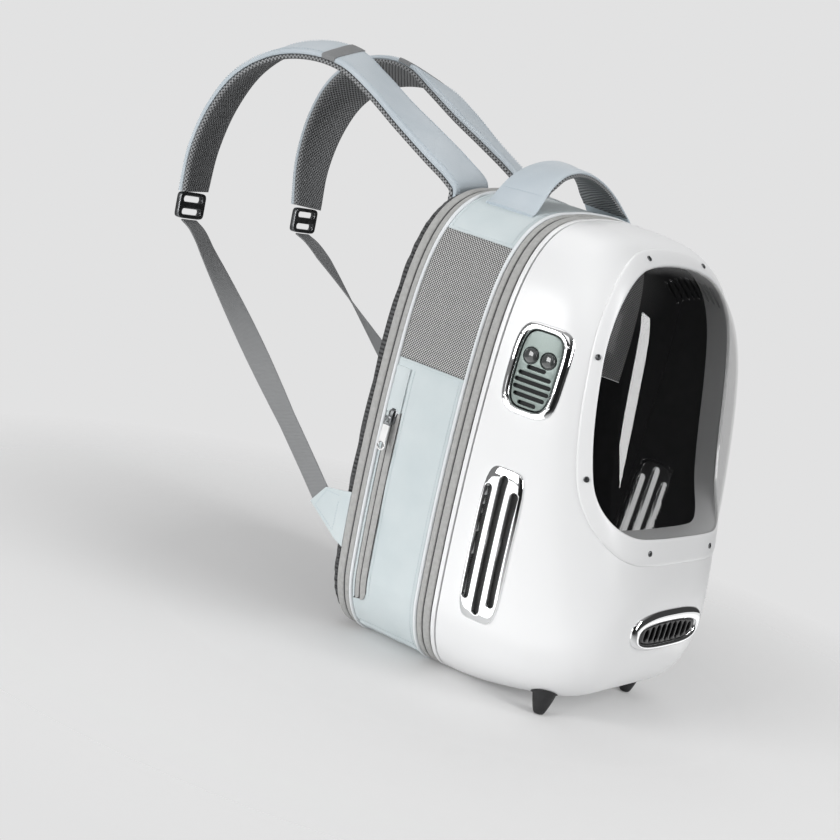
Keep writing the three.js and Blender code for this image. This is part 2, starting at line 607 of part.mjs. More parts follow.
// Pocket zip on the left side of the gusset, with a slider and a hanging puller.
const POCKET_Y = 31;
const POCKET_Z = [39, 262];
const pocket = POCKET_Z.map(outlineAtHeight);
const pocketDepth = [POCKET_Y - 4, POCKET_Y + 4];
add('pocket_tape', strip(10 - pocket[1], 10 - pocket[0], 12, GAP, 1.3, pocketDepth), 'tape');
const SLIDER_Z = 221;
const sliderX = -halfWidth(SLIDER_Z) - 2;
const boxAt = (x0, x1, y, half, z0, z1) => loft([x0, x1].map((x) => [
  at(x, y - half, z0), at(x, y + half, z0), at(x, y + half, z1), at(x, y - half, z1),
]));
const PIVOT = at(sliderX - 6.2, POCKET_Y, SLIDER_Z - 3);
const sliderBody = boxAt(sliderX, sliderX - 2.6, POCKET_Y, 5, SLIDER_Z - 9, SLIDER_Z + 9);
const postY = (side) => POCKET_Y + side * 4.4;
const post = (side) => boxAt(sliderX - 2, PIVOT.x - 1.4, postY(side), 0.6, PIVOT.z - 1.4, PIVOT.z + 1.4);
const bar = turned([[0.9, -4.6], [0.9, 4.6]], 8, PIVOT, at(0, 1, 0));
add('pocket_slider', join(sliderBody, [post(-1), post(1), bar]), 'metal', 1, 0.35);
const eye = cut(turned([[2.6, -3.2], [2.6, 3.2]], 14, PIVOT, at(0, 1, 0)),
  [turned([[1.4, -5], [1.4, 5]], 12, PIVOT, at(0, 1, 0))]);
const TONGUE = [
  [-3, -1.9], [-4, -8], [-4.4, -26], [-3, -30.5], [3, -30.5], [4.4, -26], [4, -8], [3, -1.9],
];
const tongueOutline = TONGUE.map(([u, v]) => new THREE.Vector2(u, v));
const tongueShape = shapeOf(tongueOutline, [superellipse(0, -25.5, 2.2, 2.2, 2, 12)]);
const tongue = laid(tongueShape, -0.8, 0.8, (u, v, h) => at(PIVOT.x + h, PIVOT.y + u, PIVOT.z + v), 1);
add('pocket_puller', join(eye, [tongue]), 'metal', 1, 0.35);

export default part;
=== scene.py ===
"""Pet carrier backpack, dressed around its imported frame.

A hard white front with a tinted window, a zipped cloth body, a handle and shoulder straps.
Sizes are in millimetres and turned into metres by MM. The window faces -Y, the wearer is at +Y.
"""
import bisect
import math

import bpy
import numpy as np
from mathutils import Matrix, Vector, noise


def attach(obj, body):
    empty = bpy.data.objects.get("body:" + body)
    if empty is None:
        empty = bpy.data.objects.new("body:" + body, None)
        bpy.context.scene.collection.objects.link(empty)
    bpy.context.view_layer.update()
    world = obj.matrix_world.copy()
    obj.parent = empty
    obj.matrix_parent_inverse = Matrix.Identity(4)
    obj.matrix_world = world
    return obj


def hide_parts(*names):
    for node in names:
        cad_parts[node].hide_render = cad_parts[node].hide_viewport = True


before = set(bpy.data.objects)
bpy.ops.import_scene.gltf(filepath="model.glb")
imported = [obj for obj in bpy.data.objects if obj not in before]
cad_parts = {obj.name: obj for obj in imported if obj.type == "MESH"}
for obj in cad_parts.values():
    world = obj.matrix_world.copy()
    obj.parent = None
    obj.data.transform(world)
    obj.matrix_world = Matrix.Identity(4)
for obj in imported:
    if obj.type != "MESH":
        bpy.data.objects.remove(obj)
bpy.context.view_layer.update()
MM = 0.001

# Half outlines in front view, as cubic curves from bottom middle to top middle.
BODY_HALF = [
    [[0, 0], [20, 0], [41, 0], [62, 0]],
    [[62, 0], [98, 0], [122, 24], [132, 62]],
    [[132, 62], [142, 112], [155, 215], [155, 300]],
    [[155, 300], [155, 385], [135, 432], [55, 437]],
    [[55, 437], [37, 439.5], [18, 440], [0, 440]],
]
WINDOW_HALF = [
    [[0, 184], [24, 184], [46, 184], [70, 184]],
    [[70, 184], [104, 184], [123, 199], [128, 226]],
    [[128, 226], [133, 254], [134, 296], [130, 328]],
    [[130, 328], [125, 366], [106, 398], [68, 410]],
    [[68, 410], [46, 415.5], [22, 417], [0, 417]],
]
FRAME_HALF = [
    [[0, 160], [24, 160], [46, 160], [70, 160]],
    [[70, 160], [110, 160], [131, 184], [137, 222]],
    [[137, 222], [141.5, 252], [142.5, 296], [138.5, 332]],
    [[138.5, 332], [133, 376], [112, 410], [70, 423]],
    [[70, 423], [47, 429], [22, 430], [0, 430]],
]
WINDOW_MID = (0, 298)
WINDOW_BULGE = 15
WINDOW_BULGE_TOP = 0.1
WINDOW_WALL = 2.2
WINDOW_SLOTS = 9
WINDOW_SLOT = {"z": 402.5, "drop": 0.0026, "pitch": 11.5, "half": 7.6, "radius": 1.7, "slant": 0.25}
FLANGE_DEPTH = 23

# Stations along the depth.
RIM_Y = -56
SHELL_EDGE_Y = -60.6
PIPING_FRONT_Y = -36.2
PIPING_BACK_Y = 39.2
PIPING_RADIUS = 1.9
GUSSET_Y = (-34, 37)
MESH_Z = (275, 397.6)
BACK_PANEL_Y = 56
BACK_PANEL_SEWN_Y = 61
BACK_PANEL_TOP_Y = 72.4
BACK_PANEL_MID_Z = 225
RIM_BEAD_Y = (-59.1, -54.5)
ZIP_TAPES = {
    "front_tape_shell": (-52.9, -45.5), "front_tape_gusset": (-44, -38.4),
    "back_tape_gusset": (41.4, 46.5), "back_tape_panel": (48.1, 55.7),
}
ZIP_COILS = {"front_coil": (-46.6, -42.9), "back_coil": (45.4, 49.2)}
ZIP_SLIDERS = {"front_slider": -44.75, "back_slider": 47.3}
SLIDER_PARK_Z = 300
SEAM_Y = (-30.8, 33.8)
HEM_Z = 12
HEM_SEAM_Z = 15.5

# Domed shell.
SHELL_MID_Z = 230
SHELL_DEPTH = 144
SHELL_LEAN = 0.27
SHELL_TUCK = 1.3e-6
SHELL_WALL = 2.5
SHELL_POWER = 3.6
SHELL_HOLE = 5
SHELL_SIDE_X = 60
SHELL_FRONT_Y = -150
UNDERSIDE_RISE = 9

# Fittings on the shell.
PANEL = {"y": -101, "z": 305, "a": 28.2, "b": 42, "rim_y": 8.4, "rim_z": 6.6, "power": 4}
BEZEL_SCREWS = [(-21.2, -28), (21.2, -28), (-21.2, 28), (21.2, 28)]
PANEL_SLOTS = [(306.5, 9.3), (300, 16), (293.7, 18), (287.3, 17.7), (281, 15.4), (274.5, 9)]
BUTTON_Z = 316.5
BUTTON_SPREAD = 8.6
BUTTON_RADIUS = 7.2
LOUVER = {"y": -101, "z": 142, "a": 21, "b": 73, "power": 5}
LOUVER_SLOTS = [(-13.4, 54.5), (0, 66), (13.4, 54.5)]
LOUVER_SLOT = 3.7
VENT = {"z": 99, "a": 70, "b": 19.7, "power": 2.8}
GRILLE = {"z": 96, "a": 57, "b": 10.5, "pitch": 11, "slot": 3.9}
FOOT = {"x": 86, "y": -165}
SCREWS = [(57, 419.5), (134.5, 332), (133, 228), (63, 171.5)]
SCREW_RISE = 1.0

# Handle and straps.
HANDLE_HALF_WIDTH = 25.6
HANDLE_FRONT = [
    (-103, 428.8), (-97.5, 432.8), (-91.5, 442), (-82, 456.5), (-66, 469), (-44, 475.5), (-18, 476),
    (14, 470), (44, 459.5), (68, 448), (84, 439.8), (93.5, 434.2), (101, 429.7),
]
HANDLE_BACK = [
    (-103, 428.8), (-97, 432.8), (-88.5, 442), (-76, 453.5), (-54, 465.5), (-22, 475), (8, 478),
    (36, 474.5), (57, 464), (73, 450.5), (85, 440), (93.5, 434.2), (101, 429.7),
]
STRAP_INNER = [
    (-40, 62, 426), (-40, 66, 441), (-40, 91.5, 456.5), (-40, 132, 475.5), (-40, 172, 493),
    (-40, 210, 512), (-42, 245, 527.5), (-46, 285, 528), (-52, 325, 513), (-58, 355, 483),
    (-64, 372, 440), (-70, 377, 392), (-76, 372, 347),
]
STRAP_OUTER = [
    (-95, 62, 416), (-95, 65, 430), (-95, 78, 439.5), (-95, 104, 452), (-95, 145, 473),
    (-97, 185, 495.5), (-100, 223, 511.5), (-104, 265, 513.5), (-108, 308, 501), (-112, 342, 474),
    (-115, 362, 436), (-117, 371, 390), (-118, 368, 345),
]
STRAP_BAND = (0.44, 0.475)
ADJUSTER = [(-97, 369, 344.6), (-97, 366.4, 318)]
ADJUSTER_HALF = 20
WEB_PATH = [
    (-97, 361, 317), (-99, 346, 311), (-104, 318, 291), (-112, 250, 239), (-121, 172, 178.5),
    (-127, 122, 139), (-130.9, 98, 120.5), (-131.6, 90, 114.3),
]
WEB_HALF = 12.5
WEB_UPRIGHT = (-0.24, -0.61, 0.79)
WEB_TURN = (2 / 18, 13 / 18)
TAB_UPPER = [(56.4, 136), (66, 134), (89, 129.5)]
TAB_LOWER = [(56.4, 81), (66, 85), (107, 109)]
TAB_FOLD = 66
TAB_LEAN = 0.2

# Pocket zip on the left side.
POCKET_Z = (39, 262)
POCKET_SEAM_Y = 17.6
POCKET_SLIDER_Z = 221
POCKET_ZIP_Y = 28.2
PULLER_PIVOT = (-160.15, 218)
PULLER_RING = {"drop": 25.5, "radius": 4.8, "hole": 2.9}
PULLER_LOOP = 6

# Zip sliders.
SLIDER = {"width": 9.4, "length": 16, "height": 2, "waist": 0.72}
SLIDER_BRIDGE = {"half": 6.2, "low": 0.8, "rise": 2.6}

# Stitches: pitch, length, radius.
HANDLE_STITCH = (3.0, 2.1, 0.28)
STRAP_STITCH = (3.2, 2.2, 0.28)
TAB_STITCH = (2.8, 1.9, 0.28)
POCKET_STITCH = (2.8, 1.9, 0.26)
GUSSET_STITCH = (3.0, 2.1, 0.26)

# Air in the padded back panel.
PUFF_VOXEL = 5
PUFF_REACH = 3
PUFF_PRESSURE = 4
PUFF_STEPS = 20


# Curves and surfaces of the pack.
def clamp(v):
    return min(1.0, max(0.0, v))


def smoothstep(v, low, high):
    t = clamp((v - low) / (high - low))
    return t * t * (3 - 2 * t)


def cubic(curve, t):
    a, b, c, d = (np.array(p, float) for p in curve)
    s = 1 - t
    return s**3 * a + 3 * s * s * t * b + 3 * s * t * t * c + t**3 * d


class Outline:
    """Closed symmetric outline, from the bottom middle round by the right side. Shares run 0 to 1."""

    def __init__(self, curves, steps=120):
        right = [cubic(curve, i / steps) for curve in curves for i in range(steps)]
        right.append(np.array(curves[-1][3], float))
        left = [p * (-1, 1) for p in reversed(right[:-1])]
        self.points = np.array(right + left)
        self.run = np.concatenate([[0], np.cumsum(np.linalg.norm(np.diff(self.points, axis=0), axis=1))])
        self.length = self.run[-1]
        self.right = len(right)
        self.steps, self.pairs = self.run.tolist(), self.points.tolist()

    def at(self, share, offset=0.0):
        s = (share % 1.0) * self.length
        k = min(len(self.steps) - 2, bisect.bisect_right(self.steps, s) - 1)
        t = (s - self.steps[k]) / (self.steps[k + 1] - self.steps[k])
        (x0, z0), (x1, z1) = self.pairs[k], self.pairs[k + 1]
        x, z = x0 + t * (x1 - x0), z0 + t * (z1 - z0)
        if offset:
            nx, nz = self.normal(share)
            x, z = x + offset * nx, z + offset * nz
        return x, z

    def normal(self, share):
        (x0, z0), (x1, z1) = self.at(share - 0.001), self.at(share + 0.001)
        length = math.hypot(x1 - x0, z1 - z0)
        return (z1 - z0) / length, -(x1 - x0) / length

    def share_at(self, z):
        """Share on the right side at a height."""
        return np.interp(z, self.points[: self.right, 1], self.run[: self.right]) / self.length

    def polar(self, middle_z, count=2880):
        """Radius around (0, middle_z) as a function of the direction."""
        d = self.points[:-1] - (0, middle_z)
        angle, radius = np.arctan2(d[:, 1], d[:, 0]), np.hypot(d[:, 0], d[:, 1])
        order = np.argsort(angle)
        ring = np.linspace(-math.pi, math.pi, count + 1)
        table = np.interp(ring, angle[order], radius[order], period=2 * math.pi).tolist()

        def at_direction(a):
            place = (a + math.pi) / (2 * math.pi) * count
            k = min(count - 1, max(0, int(place)))
            return table[k] + (place - k) * (table[k + 1] - table[k])

        return at_direction


body = Outline(BODY_HALF)
window_outline = Outline(WINDOW_HALF)
frame_outline = Outline(FRAME_HALF)
body_radius = body.polar(SHELL_MID_Z)
window_radius = window_outline.polar(SHELL_MID_Z)
HEM_SHARE = body.share_at(HEM_Z)


def half_width(z):
    return body.at(body.share_at(z))[0]


def shell_depth(z):
    low = SHELL_MID_Z - z
    return SHELL_DEPTH + SHELL_LEAN * low - SHELL_TUCK * low**3


def shell_rise(r):
    """How far the dome stands out, from 0 at the rim to 1 in the middle."""
    return (1 - clamp(r) ** SHELL_POWER) ** (1 / SHELL_POWER)


def shell_y(x, z):
    r = math.hypot(x, z - SHELL_MID_Z) / body_radius(math.atan2(z - SHELL_MID_Z, x))
    return RIM_Y - shell_depth(z) * shell_rise(r)


def shell_normal(x, z, e=0.6):
    dx = (shell_y(x + e, z) - shell_y(x - e, z)) / (2 * e)
    dz = (shell_y(x, z + e) - shell_y(x, z - e)) / (2 * e)
    return Vector((dx, -1, dz)).normalized()


def drawn_up(y, z):
    """Height of a point of the shell's underside, which rises towards the front."""
    return z + UNDERSIDE_RISE * smoothstep(-y, 70, 165) * max(0.0, 1 - z / 60) ** 2


def solve(f, value, low, high):
    for _ in range(40):
        middle = (low + high) / 2
        low, high = (middle, high) if f(middle) < value else (low, middle)
    return (low + high) / 2


def shell_x(y, z):
    """Half width of the shell's side at a depth and height."""
    return solve(lambda x: shell_y(x, z), y, 60, half_width(z))


def shell_underside(x, y):
    return drawn_up(y, solve(lambda z: -shell_y(x, z), -y, 1, SHELL_MID_Z))


def on_side(side):
    return lambda y, z, h: (side * (shell_x(y, z) + h), y, z)


def on_front(x, z, h):
    p = Vector((x, shell_y(x, z), z)) + h * shell_normal(x, z)
    return tuple(p)


def spline(points, count):
    """Smooth run through points, at even distances."""
    p = [np.array(q, float) for q in points]
    p = [2 * p[0] - p[1], *p, 2 * p[-1] - p[-2]]
    fine = []
    for k in range(1, len(p) - 2):
        d0, d1, d2 = (np.linalg.norm(p[k + i] - p[k + i - 1]) ** 0.5 for i in (0, 1, 2))
        m1 = (p[k] - p[k - 1]) / d0 - (p[k + 1] - p[k - 1]) / (d0 + d1) + (p[k + 1] - p[k]) / d1
        m2 = (p[k + 1] - p[k]) / d1 - (p[k + 2] - p[k]) / (d1 + d2) + (p[k + 2] - p[k + 1]) / d2
        for i in range(40):
            t = i / 40
            fine.append((2 * t**3 - 3 * t**2 + 1) * p[k] + (t**3 - 2 * t**2 + t) * d1 * m1
                        + (3 * t**2 - 2 * t**3) * p[k + 1] + (t**3 - t**2) * d1 * m2)
    fine = np.array([*fine, p[-2]])
    run = np.concatenate([[0], np.cumsum(np.linalg.norm(np.diff(fine, axis=0), axis=1))])
    even = np.linspace(0, run[-1], count + 1)
    return np.stack([np.interp(even, run, fine[:, k]) for k in range(3)], axis=1)


def superellipse(u, v, a, b, power, count):
    points = []
    for i in range(count):
        t = i * 2 * math.pi / count
        c, s = math.cos(t), math.sin(t)
        points.append((u + a * math.copysign(abs(c) ** (2 / power), c),
                       v + b * math.copysign(abs(s) ** (2 / power), s)))
    return points


def slot_outline(u, v, half, radius, upright, count=8, slant=0.0):
    points = []
    for end in (1, -1):
        for i in range(count + 1):
            t = (-0.5 if end > 0 else 0.5) * math.pi + i * math.pi / count
            p = (end * (half - radius) + radius * math.cos(t), radius * math.sin(t))
            if upright:
                p = (-p[1] - slant * p[0], p[0])
            points.append((u + p[0], v + p[1]))
    return points


# Modelling by hand: selecting, editing, applying.
def deselect():
    bpy.ops.object.select_all(action="DESELECT")


def make_active(piece):
    deselect()
    piece.select_set(True)
    bpy.context.view_layer.objects.active = piece


def edit(piece, *steps):
    """Runs edit-mode steps on the whole mesh."""
    make_active(piece)
    bpy.ops.object.mode_set(mode="EDIT")
    bpy.ops.mesh.select_all(action="SELECT")
    for step in steps:
        step()
    bpy.ops.object.mode_set(mode="OBJECT")


def modify(piece, kind, **settings):
    make_active(piece)
    modifier = piece.modifiers.new(kind.lower(), kind)
    for key, value in settings.items():
        setattr(modifier, key, value)
    bpy.ops.object.modifier_apply(modifier=modifier.name)


def smooth(piece, angle=40):
    make_active(piece)
    bpy.ops.object.shade_smooth_by_angle(angle=math.radians(angle))


def delete_faces(piece, test):
    """Deletes the faces whose middle passes a test, in millimetres."""
    make_active(piece)
    bpy.ops.object.mode_set(mode="EDIT")
    bpy.ops.mesh.select_all(action="DESELECT")
    bpy.ops.mesh.select_mode(type="FACE")
    bpy.ops.object.mode_set(mode="OBJECT")
    for face in piece.data.polygons:
        face.select = test(*(face.center / MM))
    bpy.ops.object.mode_set(mode="EDIT")
    bpy.ops.mesh.delete(type="FACE")
    bpy.ops.mesh.select_mode(type="VERT")
    bpy.ops.object.mode_set(mode="OBJECT")


def merge():
    bpy.ops.mesh.remove_doubles(threshold=1e-6)


def close_ends():
    bpy.ops.mesh.fill_holes(sides=0)


def face_out():
    bpy.ops.mesh.normals_make_consistent(inside=False)


def sweep(name, rings, wrap=True, closed=False, outward=None):
    """Grid primitive whose rows are moved to rings of points. wrap closes each ring, closed the run.

    Its UV map is the unrolled surface in metres. An open sheet is turned to face outward(point).
    """
    rows = [[*ring, ring[0]] if wrap else list(ring) for ring in rings]
    if closed:
        rows.append(rows[0])
    across, along = len(rows[0]) - 1, len(rows) - 1
    deselect()
    bpy.ops.mesh.primitive_grid_add(x_subdivisions=across, y_subdivisions=along, size=2)
    piece = bpy.context.active_object
    piece.name = piece.data.name = name
    count = len(piece.data.vertices)
    flat = np.zeros(count * 3)
    piece.data.vertices.foreach_get("co", flat)
    flat = flat.reshape(-1, 3)
    i = np.rint((flat[:, 0] + 1) / 2 * across).astype(int)
    j = np.rint((flat[:, 1] + 1) / 2 * along).astype(int)
    grid = np.array(rows, float) * MM
    piece.data.vertices.foreach_set("co", grid[j, i].ravel())
    middle = len(rows) // 2
    girth = np.concatenate([[0], np.cumsum(np.linalg.norm(np.diff(grid[middle], axis=0), axis=1))])
    centres = grid.mean(axis=1)
    run = np.concatenate([[0], np.cumsum(np.linalg.norm(np.diff(centres, axis=0), axis=1))])
    corner = np.zeros(len(piece.data.loops), int)
    piece.data.loops.foreach_get("vertex_index", corner)
    uv = np.stack([girth[i[corner]], run[j[corner]]], axis=1)
    piece.data.uv_layers.active.data.foreach_set("uv", uv.ravel())
    piece.data.update()
    steps = [merge]
    if wrap and not closed:
        steps.append(close_ends)
    if wrap:
        steps.append(face_out)
    edit(piece, *steps)
    if outward is not None:
        faces = piece.data.polygons
        if sum(f.normal.dot(Vector(outward(*(f.center / MM)))) * f.area for f in faces) < 0:
            edit(piece, bpy.ops.mesh.flip_normals)
    smooth(piece)
    return piece


def around_body(name, profile, count=260, shares=(0.0, 1.0)):
    """Profile of (offset, y) swept round the body outline, pressed flat at the bottom."""
    rings = []
    whole = shares == (0.0, 1.0)
    for k in range(count if whole else count + 1):
        share = shares[0] + (shares[1] - shares[0]) * k / count
        ring = []
        for offset, y in profile:
            x, z = body.at(share, offset)
            ring.append((x, y, max(z, 0.0)))
        rings.append(ring)
    return sweep(name, rings, closed=whole)


def between(name, inner, outer, profile, place):
    """Ring between two flat loops, with a profile of (share across, height), laid by place(u, v, h)."""
    rings = []
    for (u0, v0), (u1, v1) in zip(inner, outer):
        rings.append([place(u0 + c * (u1 - u0), v0 + c * (v1 - v0), h) for c, h in profile])
    return sweep(name, rings, closed=True)


def flat_plate(name, outline, holes, low, high, bevel, cuts_u, cuts_v, place):
    """Flat curve with holes, given thickness and rounded edges, cut into strips and laid on a surface."""
    curve = bpy.data.curves.new(name, "CURVE")
    curve.dimensions = "2D"
    curve.fill_mode = "BOTH"
    curve.extrude = ((high - low) / 2 - bevel) * MM
    curve.bevel_depth = bevel * MM
    curve.bevel_resolution = 2
    curve.offset = -bevel * MM
    for loop in (outline, *holes):
        line = curve.splines.new("POLY")
        line.points.add(len(loop) - 1)
        for point, (u, v) in zip(line.points, loop):
            point.co = (u * MM, v * MM, 0, 1)
        line.use_cyclic_u = True
    piece = bpy.data.objects.new(name, curve)
    bpy.context.scene.collection.objects.link(piece)
    make_active(piece)
    bpy.ops.object.convert(target="MESH")
    piece = bpy.context.active_object
    cuts = [((u * MM, 0, 0), (1, 0, 0)) for u in cuts_u] + [((0, v * MM, 0), (0, 1, 0)) for v in cuts_v]

    def strips():
        for point, direction in cuts:
            bpy.ops.mesh.select_all(action="SELECT")
            bpy.ops.mesh.bisect(plane_co=point, plane_no=direction)
        bpy.ops.mesh.select_all(action="SELECT")

    edit(piece, merge, strips, face_out)
    middle = (low + high) / 2
    for point in piece.data.vertices:
        u, v, h = point.co / MM
        point.co = Vector(place(u, v, h + middle)) * MM
    edit(piece, face_out)
    smooth(piece, 35)
    return piece


def turned(name, profile, count):
    """Piece turned on a lathe about +Z, from a profile of (radius, height)."""
    angles = [k * 2 * math.pi / count for k in range(count)]
    return sweep(name, [[(r * math.cos(t), r * math.sin(t), h) for t in angles] for r, h in profile])


def join(pieces):
    """Joins pieces into the first one."""
    deselect()
    for piece in pieces:
        piece.select_set(True)
    bpy.context.view_layer.objects.active = pieces[0]
    bpy.ops.object.join()
    return bpy.context.active_object


def steps_between(low, high, count):
    return [low + (high - low) * (i + 1) / (count + 1) for i in range(count)]


def copy_of(piece, name, matrix):
    """Copy with its own mesh, its place put into the mesh."""
    twin = piece.copy()
    twin.data = piece.data.copy()
    twin.name = twin.data.name = name
    bpy.context.scene.collection.objects.link(twin)
    twin.data.transform(matrix)
    if matrix.to_3x3().determinant() < 0:
        edit(twin, face_out)
    return twin


def mirrored(piece, name):
    return copy_of(piece, name, Matrix.Scale(-1, 4, (1, 0, 0)))


def stand_on(point, normal):
    """Matrix that stands a piece made along +Z at a point in millimetres, along a normal."""
    turn = Vector(normal).to_track_quat("Z", "Y").to_matrix().to_4x4()
    return Matrix.Translation(Vector(point) * MM) @ turn


def sew(name, path, pitch, length, radius):
    """Row of stitches: one bead, repeated along a curve."""
    points = np.array(path, float) * MM
    run = np.linalg.norm(np.diff(points, axis=0), axis=1).sum()
    deselect()
    bpy.ops.mesh.primitive_uv_sphere_add(segments=6, ring_count=4, radius=MM)
    bead = bpy.context.active_object
    bead.name = bead.data.name = name
    along = Matrix.Rotation(math.pi / 2, 4, "Y")
    bead.data.transform(Matrix.Diagonal((length / 2, radius, radius, 1)) @ along)
    bead.data.transform(Matrix.Translation((pitch / 2 * MM, 0, 0)))
    curve = bpy.data.curves.new(name + "_path", "CURVE")
    curve.dimensions = "3D"
    line = curve.splines.new("POLY")
    line.points.add(len(points) - 1)
    for point, co in zip(line.points, points):
        point.co = (*co, 1)
    guide = bpy.data.objects.new(name + "_path", curve)
    bpy.context.scene.collection.objects.link(guide)
    modify(bead, "ARRAY", fit_type="FIXED_COUNT", count=max(1, int(run / (pitch * MM))),
           use_relative_offset=False, use_constant_offset=True, constant_offset_displace=(pitch * MM, 0, 0))
    modify(bead, "CURVE", object=guide, deform_axis="POS_X")
    bpy.data.objects.remove(guide)
    smooth(bead, 80)
    return bead


# Finishes: node materials on Object coordinates or on the unrolled surface.
class Nodes:
    """Node tree with its texture coordinates."""

    def __init__(self, tree):
        self.nodes, self.links = tree.nodes, tree.links
        self.where = self.nodes.new("ShaderNodeTexCoord")

    def noise(self, scale, detail=2.0):
        node = self.nodes.new("ShaderNodeTexNoise")
        node.inputs["Scale"].default_value = scale
        node.inputs["Detail"].default_value = detail
        self.links.new(self.where.outputs["Object"], node.inputs["Vector"])
        return node.outputs["Fac"]

    def math(self, operation, a, b=None):
        node = self.nodes.new("ShaderNodeMath")
        node.operation = operation
        for socket, value in zip(node.inputs, (a, b)):
            if value is None:
                continue
            if isinstance(value, (int, float)):
                socket.default_value = value
            else:
                self.links.new(value, socket)
        return node.outputs[0]

    def axis(self, name, kind="UV"):
        node = self.nodes.new("ShaderNodeSeparateXYZ")
        self.links.new(self.where.outputs[kind], node.inputs[0])
        return node.outputs[name]

    def waves(self, coordinate, period):
        """Sine of a coordinate, with a period in millimetres."""
        return self.math("SINE", self.math("MULTIPLY", coordinate, 2 * math.pi / (period * MM)))

    def weave(self, across, along, kind="UV", u="X", v="Y"):
        """Height of a plain weave, about -1 to 1."""
        weft = self.waves(self.axis(u, kind), across)
        return self.math("MULTIPLY", weft, self.waves(self.axis(v, kind), along))

    def span(self, value, low, high, to_low, to_high):
        node = self.nodes.new("ShaderNodeMapRange")
        limits = {"From Min": low, "From Max": high, "To Min": to_low, "To Max": to_high}
        for key, number in limits.items():
            node.inputs[key].default_value = number
        self.links.new(value, node.inputs["Value"])
        return node.outputs[0]

    def tint(self, factor, dark, light):
        """Colour that goes from dark to light with a factor from 0 to 1."""
        node = self.nodes.new("ShaderNodeMix")
        node.data_type = "RGBA"
        node.inputs[6].default_value = (*dark, 1)
        node.inputs[7].default_value = (*light, 1)
        self.links.new(factor, node.inputs["Factor"])
        return node.outputs[2]


class Finish(Nodes):
    """Material on the principled shader."""

    def __init__(self, name, colour, roughness, metallic=0.0):
        self.material = bpy.data.materials.new(name)
        self.material.use_nodes = True
        super().__init__(self.material.node_tree)
        self.shader = self.nodes["Principled BSDF"]
        self.set("Base Color", (*colour, 1))
        self.set("Roughness", roughness)
        self.set("Metallic", metallic)

    def set(self, socket, value):
        self.shader.inputs[socket].default_value = value
        return self

    def plug(self, source, socket):
        self.links.new(source, self.shader.inputs[socket])
        return self

    def bump(self, height, strength, distance):
        node = self.nodes.new("ShaderNodeBump")
        node.inputs["Strength"].default_value = strength
        node.inputs["Distance"].default_value = distance * MM
        self.links.new(height, node.inputs["Height"])
        return self.plug(node.outputs["Normal"], "Normal")


def plain(name, colour, roughness, metallic=0.0, uneven=None, shades=None, grain=None, coat=None):
    """Smooth finish, made uneven by noise.

    uneven is (scale, detail, low, high) of the roughness, shades (scale, detail, dark, light) of the
    colour, grain (scale, strength, depth in millimetres) of the surface, coat (weight, roughness).
    """
    f = Finish(name, colour, roughness, metallic)
    if uneven:
        scale, detail, low, high = uneven
        f.plug(f.span(f.noise(scale, detail), 0.3, 0.7, low, high), "Roughness")
    if shades:
        scale, detail, dark, light = shades
        f.plug(f.tint(f.noise(scale, detail), dark, light), "Base Color")
    if grain:
        scale, strength, depth = grain
        f.bump(f.noise(scale), strength, depth)
    if coat:
        f.set("Coat Weight", coat[0]).set("Coat Roughness", coat[1])
    return f.material


def tinted_window(name, alpha, gloss):
    """Thin tinted plastic that reflects once, on its outside."""
    f = Finish(name, (0.012, 0.012, 0.013), 0.01)
    f.plug(f.span(f.noise(14), 0.3, 0.7, 0.002, 0.008), "Roughness")
    f.set("Alpha", alpha).set("IOR", 2.6).set("Specular IOR Level", gloss)
    return f.material


def zip_tape():
    f = Finish("zip_tape", (0.36, 0.36, 0.352), 0.8)
    ribs = f.weave(1.1, 1.3)
    shade = f.math("ADD", f.math("MULTIPLY", ribs, 0.25), f.noise(260, 4))
    f.plug(f.tint(f.span(shade, 0.2, 0.9, 0, 1), (0.36, 0.36, 0.352), (0.5, 0.5, 0.49)), "Base Color")
    f.bump(ribs, 0.5, 0.15)
    f.set("Sheen Weight", 0.1)
    return f.material


# Dark coil teeth. The same finish also makes the painted shade strip under the pocket's tapes.
def zip_coil():
    f = Finish("zip_coil", (0.05, 0.05, 0.052), 0.5)
    teeth = f.waves(f.axis("Y"), 1.4)
    f.plug(f.tint(f.span(teeth, -1, 1, 0, 1), (0.02, 0.02, 0.021), (0.09, 0.09, 0.092)), "Base Color")
    f.bump(teeth, 0.6, 0.3)
    return f.material


def soft_cloth(name, dark, light, period, bump):
    f = Finish(name, light, 0.82)
    threads = f.weave(period, period)
    shade = f.math("ADD", f.math("MULTIPLY", threads, 0.18), f.noise(18, 5))
    f.plug(f.tint(f.span(shade, 0.25, 0.75, 0, 1), dark, light), "Base Color")
    relief = f.math("ADD", threads, f.math("MULTIPLY", f.noise(45, 3), 1.5))
    f.bump(relief, bump, 0.12)
    f.set("Sheen Weight", 0.2)
    return f.material


def open_mesh(name, pitch, dark, light, hole, shade_cover):
    """Woven mesh with real openings. Its colour darkens towards them as painted shade, and part of that
    painted shade may stay over them.
    """
    f = Finish(name, (light,) * 3, 0.7)
    cells = f.weave(pitch, pitch)
    shade = f.span(cells, -0.7, hole, 0, 1)
    # Painted shade: the colour is light between the openings and dark towards and over them.
    f.plug(f.tint(shade, (light, light, light * 0.99), (dark, dark, dark)), "Base Color")
    f.plug(f.span(cells, hole, hole + 0.12, 1, shade_cover), "Alpha")
    f.bump(f.math("MULTIPLY", cells, -1.0), 0.6, 0.4)
    return f.material


def spacer_mesh(name, thread, axes=("UV", "X", "Y")):
    """Thick knitted mesh: threads round dark pits."""
    f = Finish(name, thread, 0.8)
    cells = f.weave(5.2, 4.2, *axes)
    fine = f.weave(1.3, 1.05, *axes)
    shade = f.math("ADD", cells, f.math("MULTIPLY", fine, 0.3))
    f.plug(f.tint(f.span(shade, -0.5, 0.75, 0, 1), thread, (0.02, 0.02, 0.021)), "Base Color")
    f.bump(f.math("MULTIPLY", shade, -1.0), 0.8, 0.8)
    return f.material


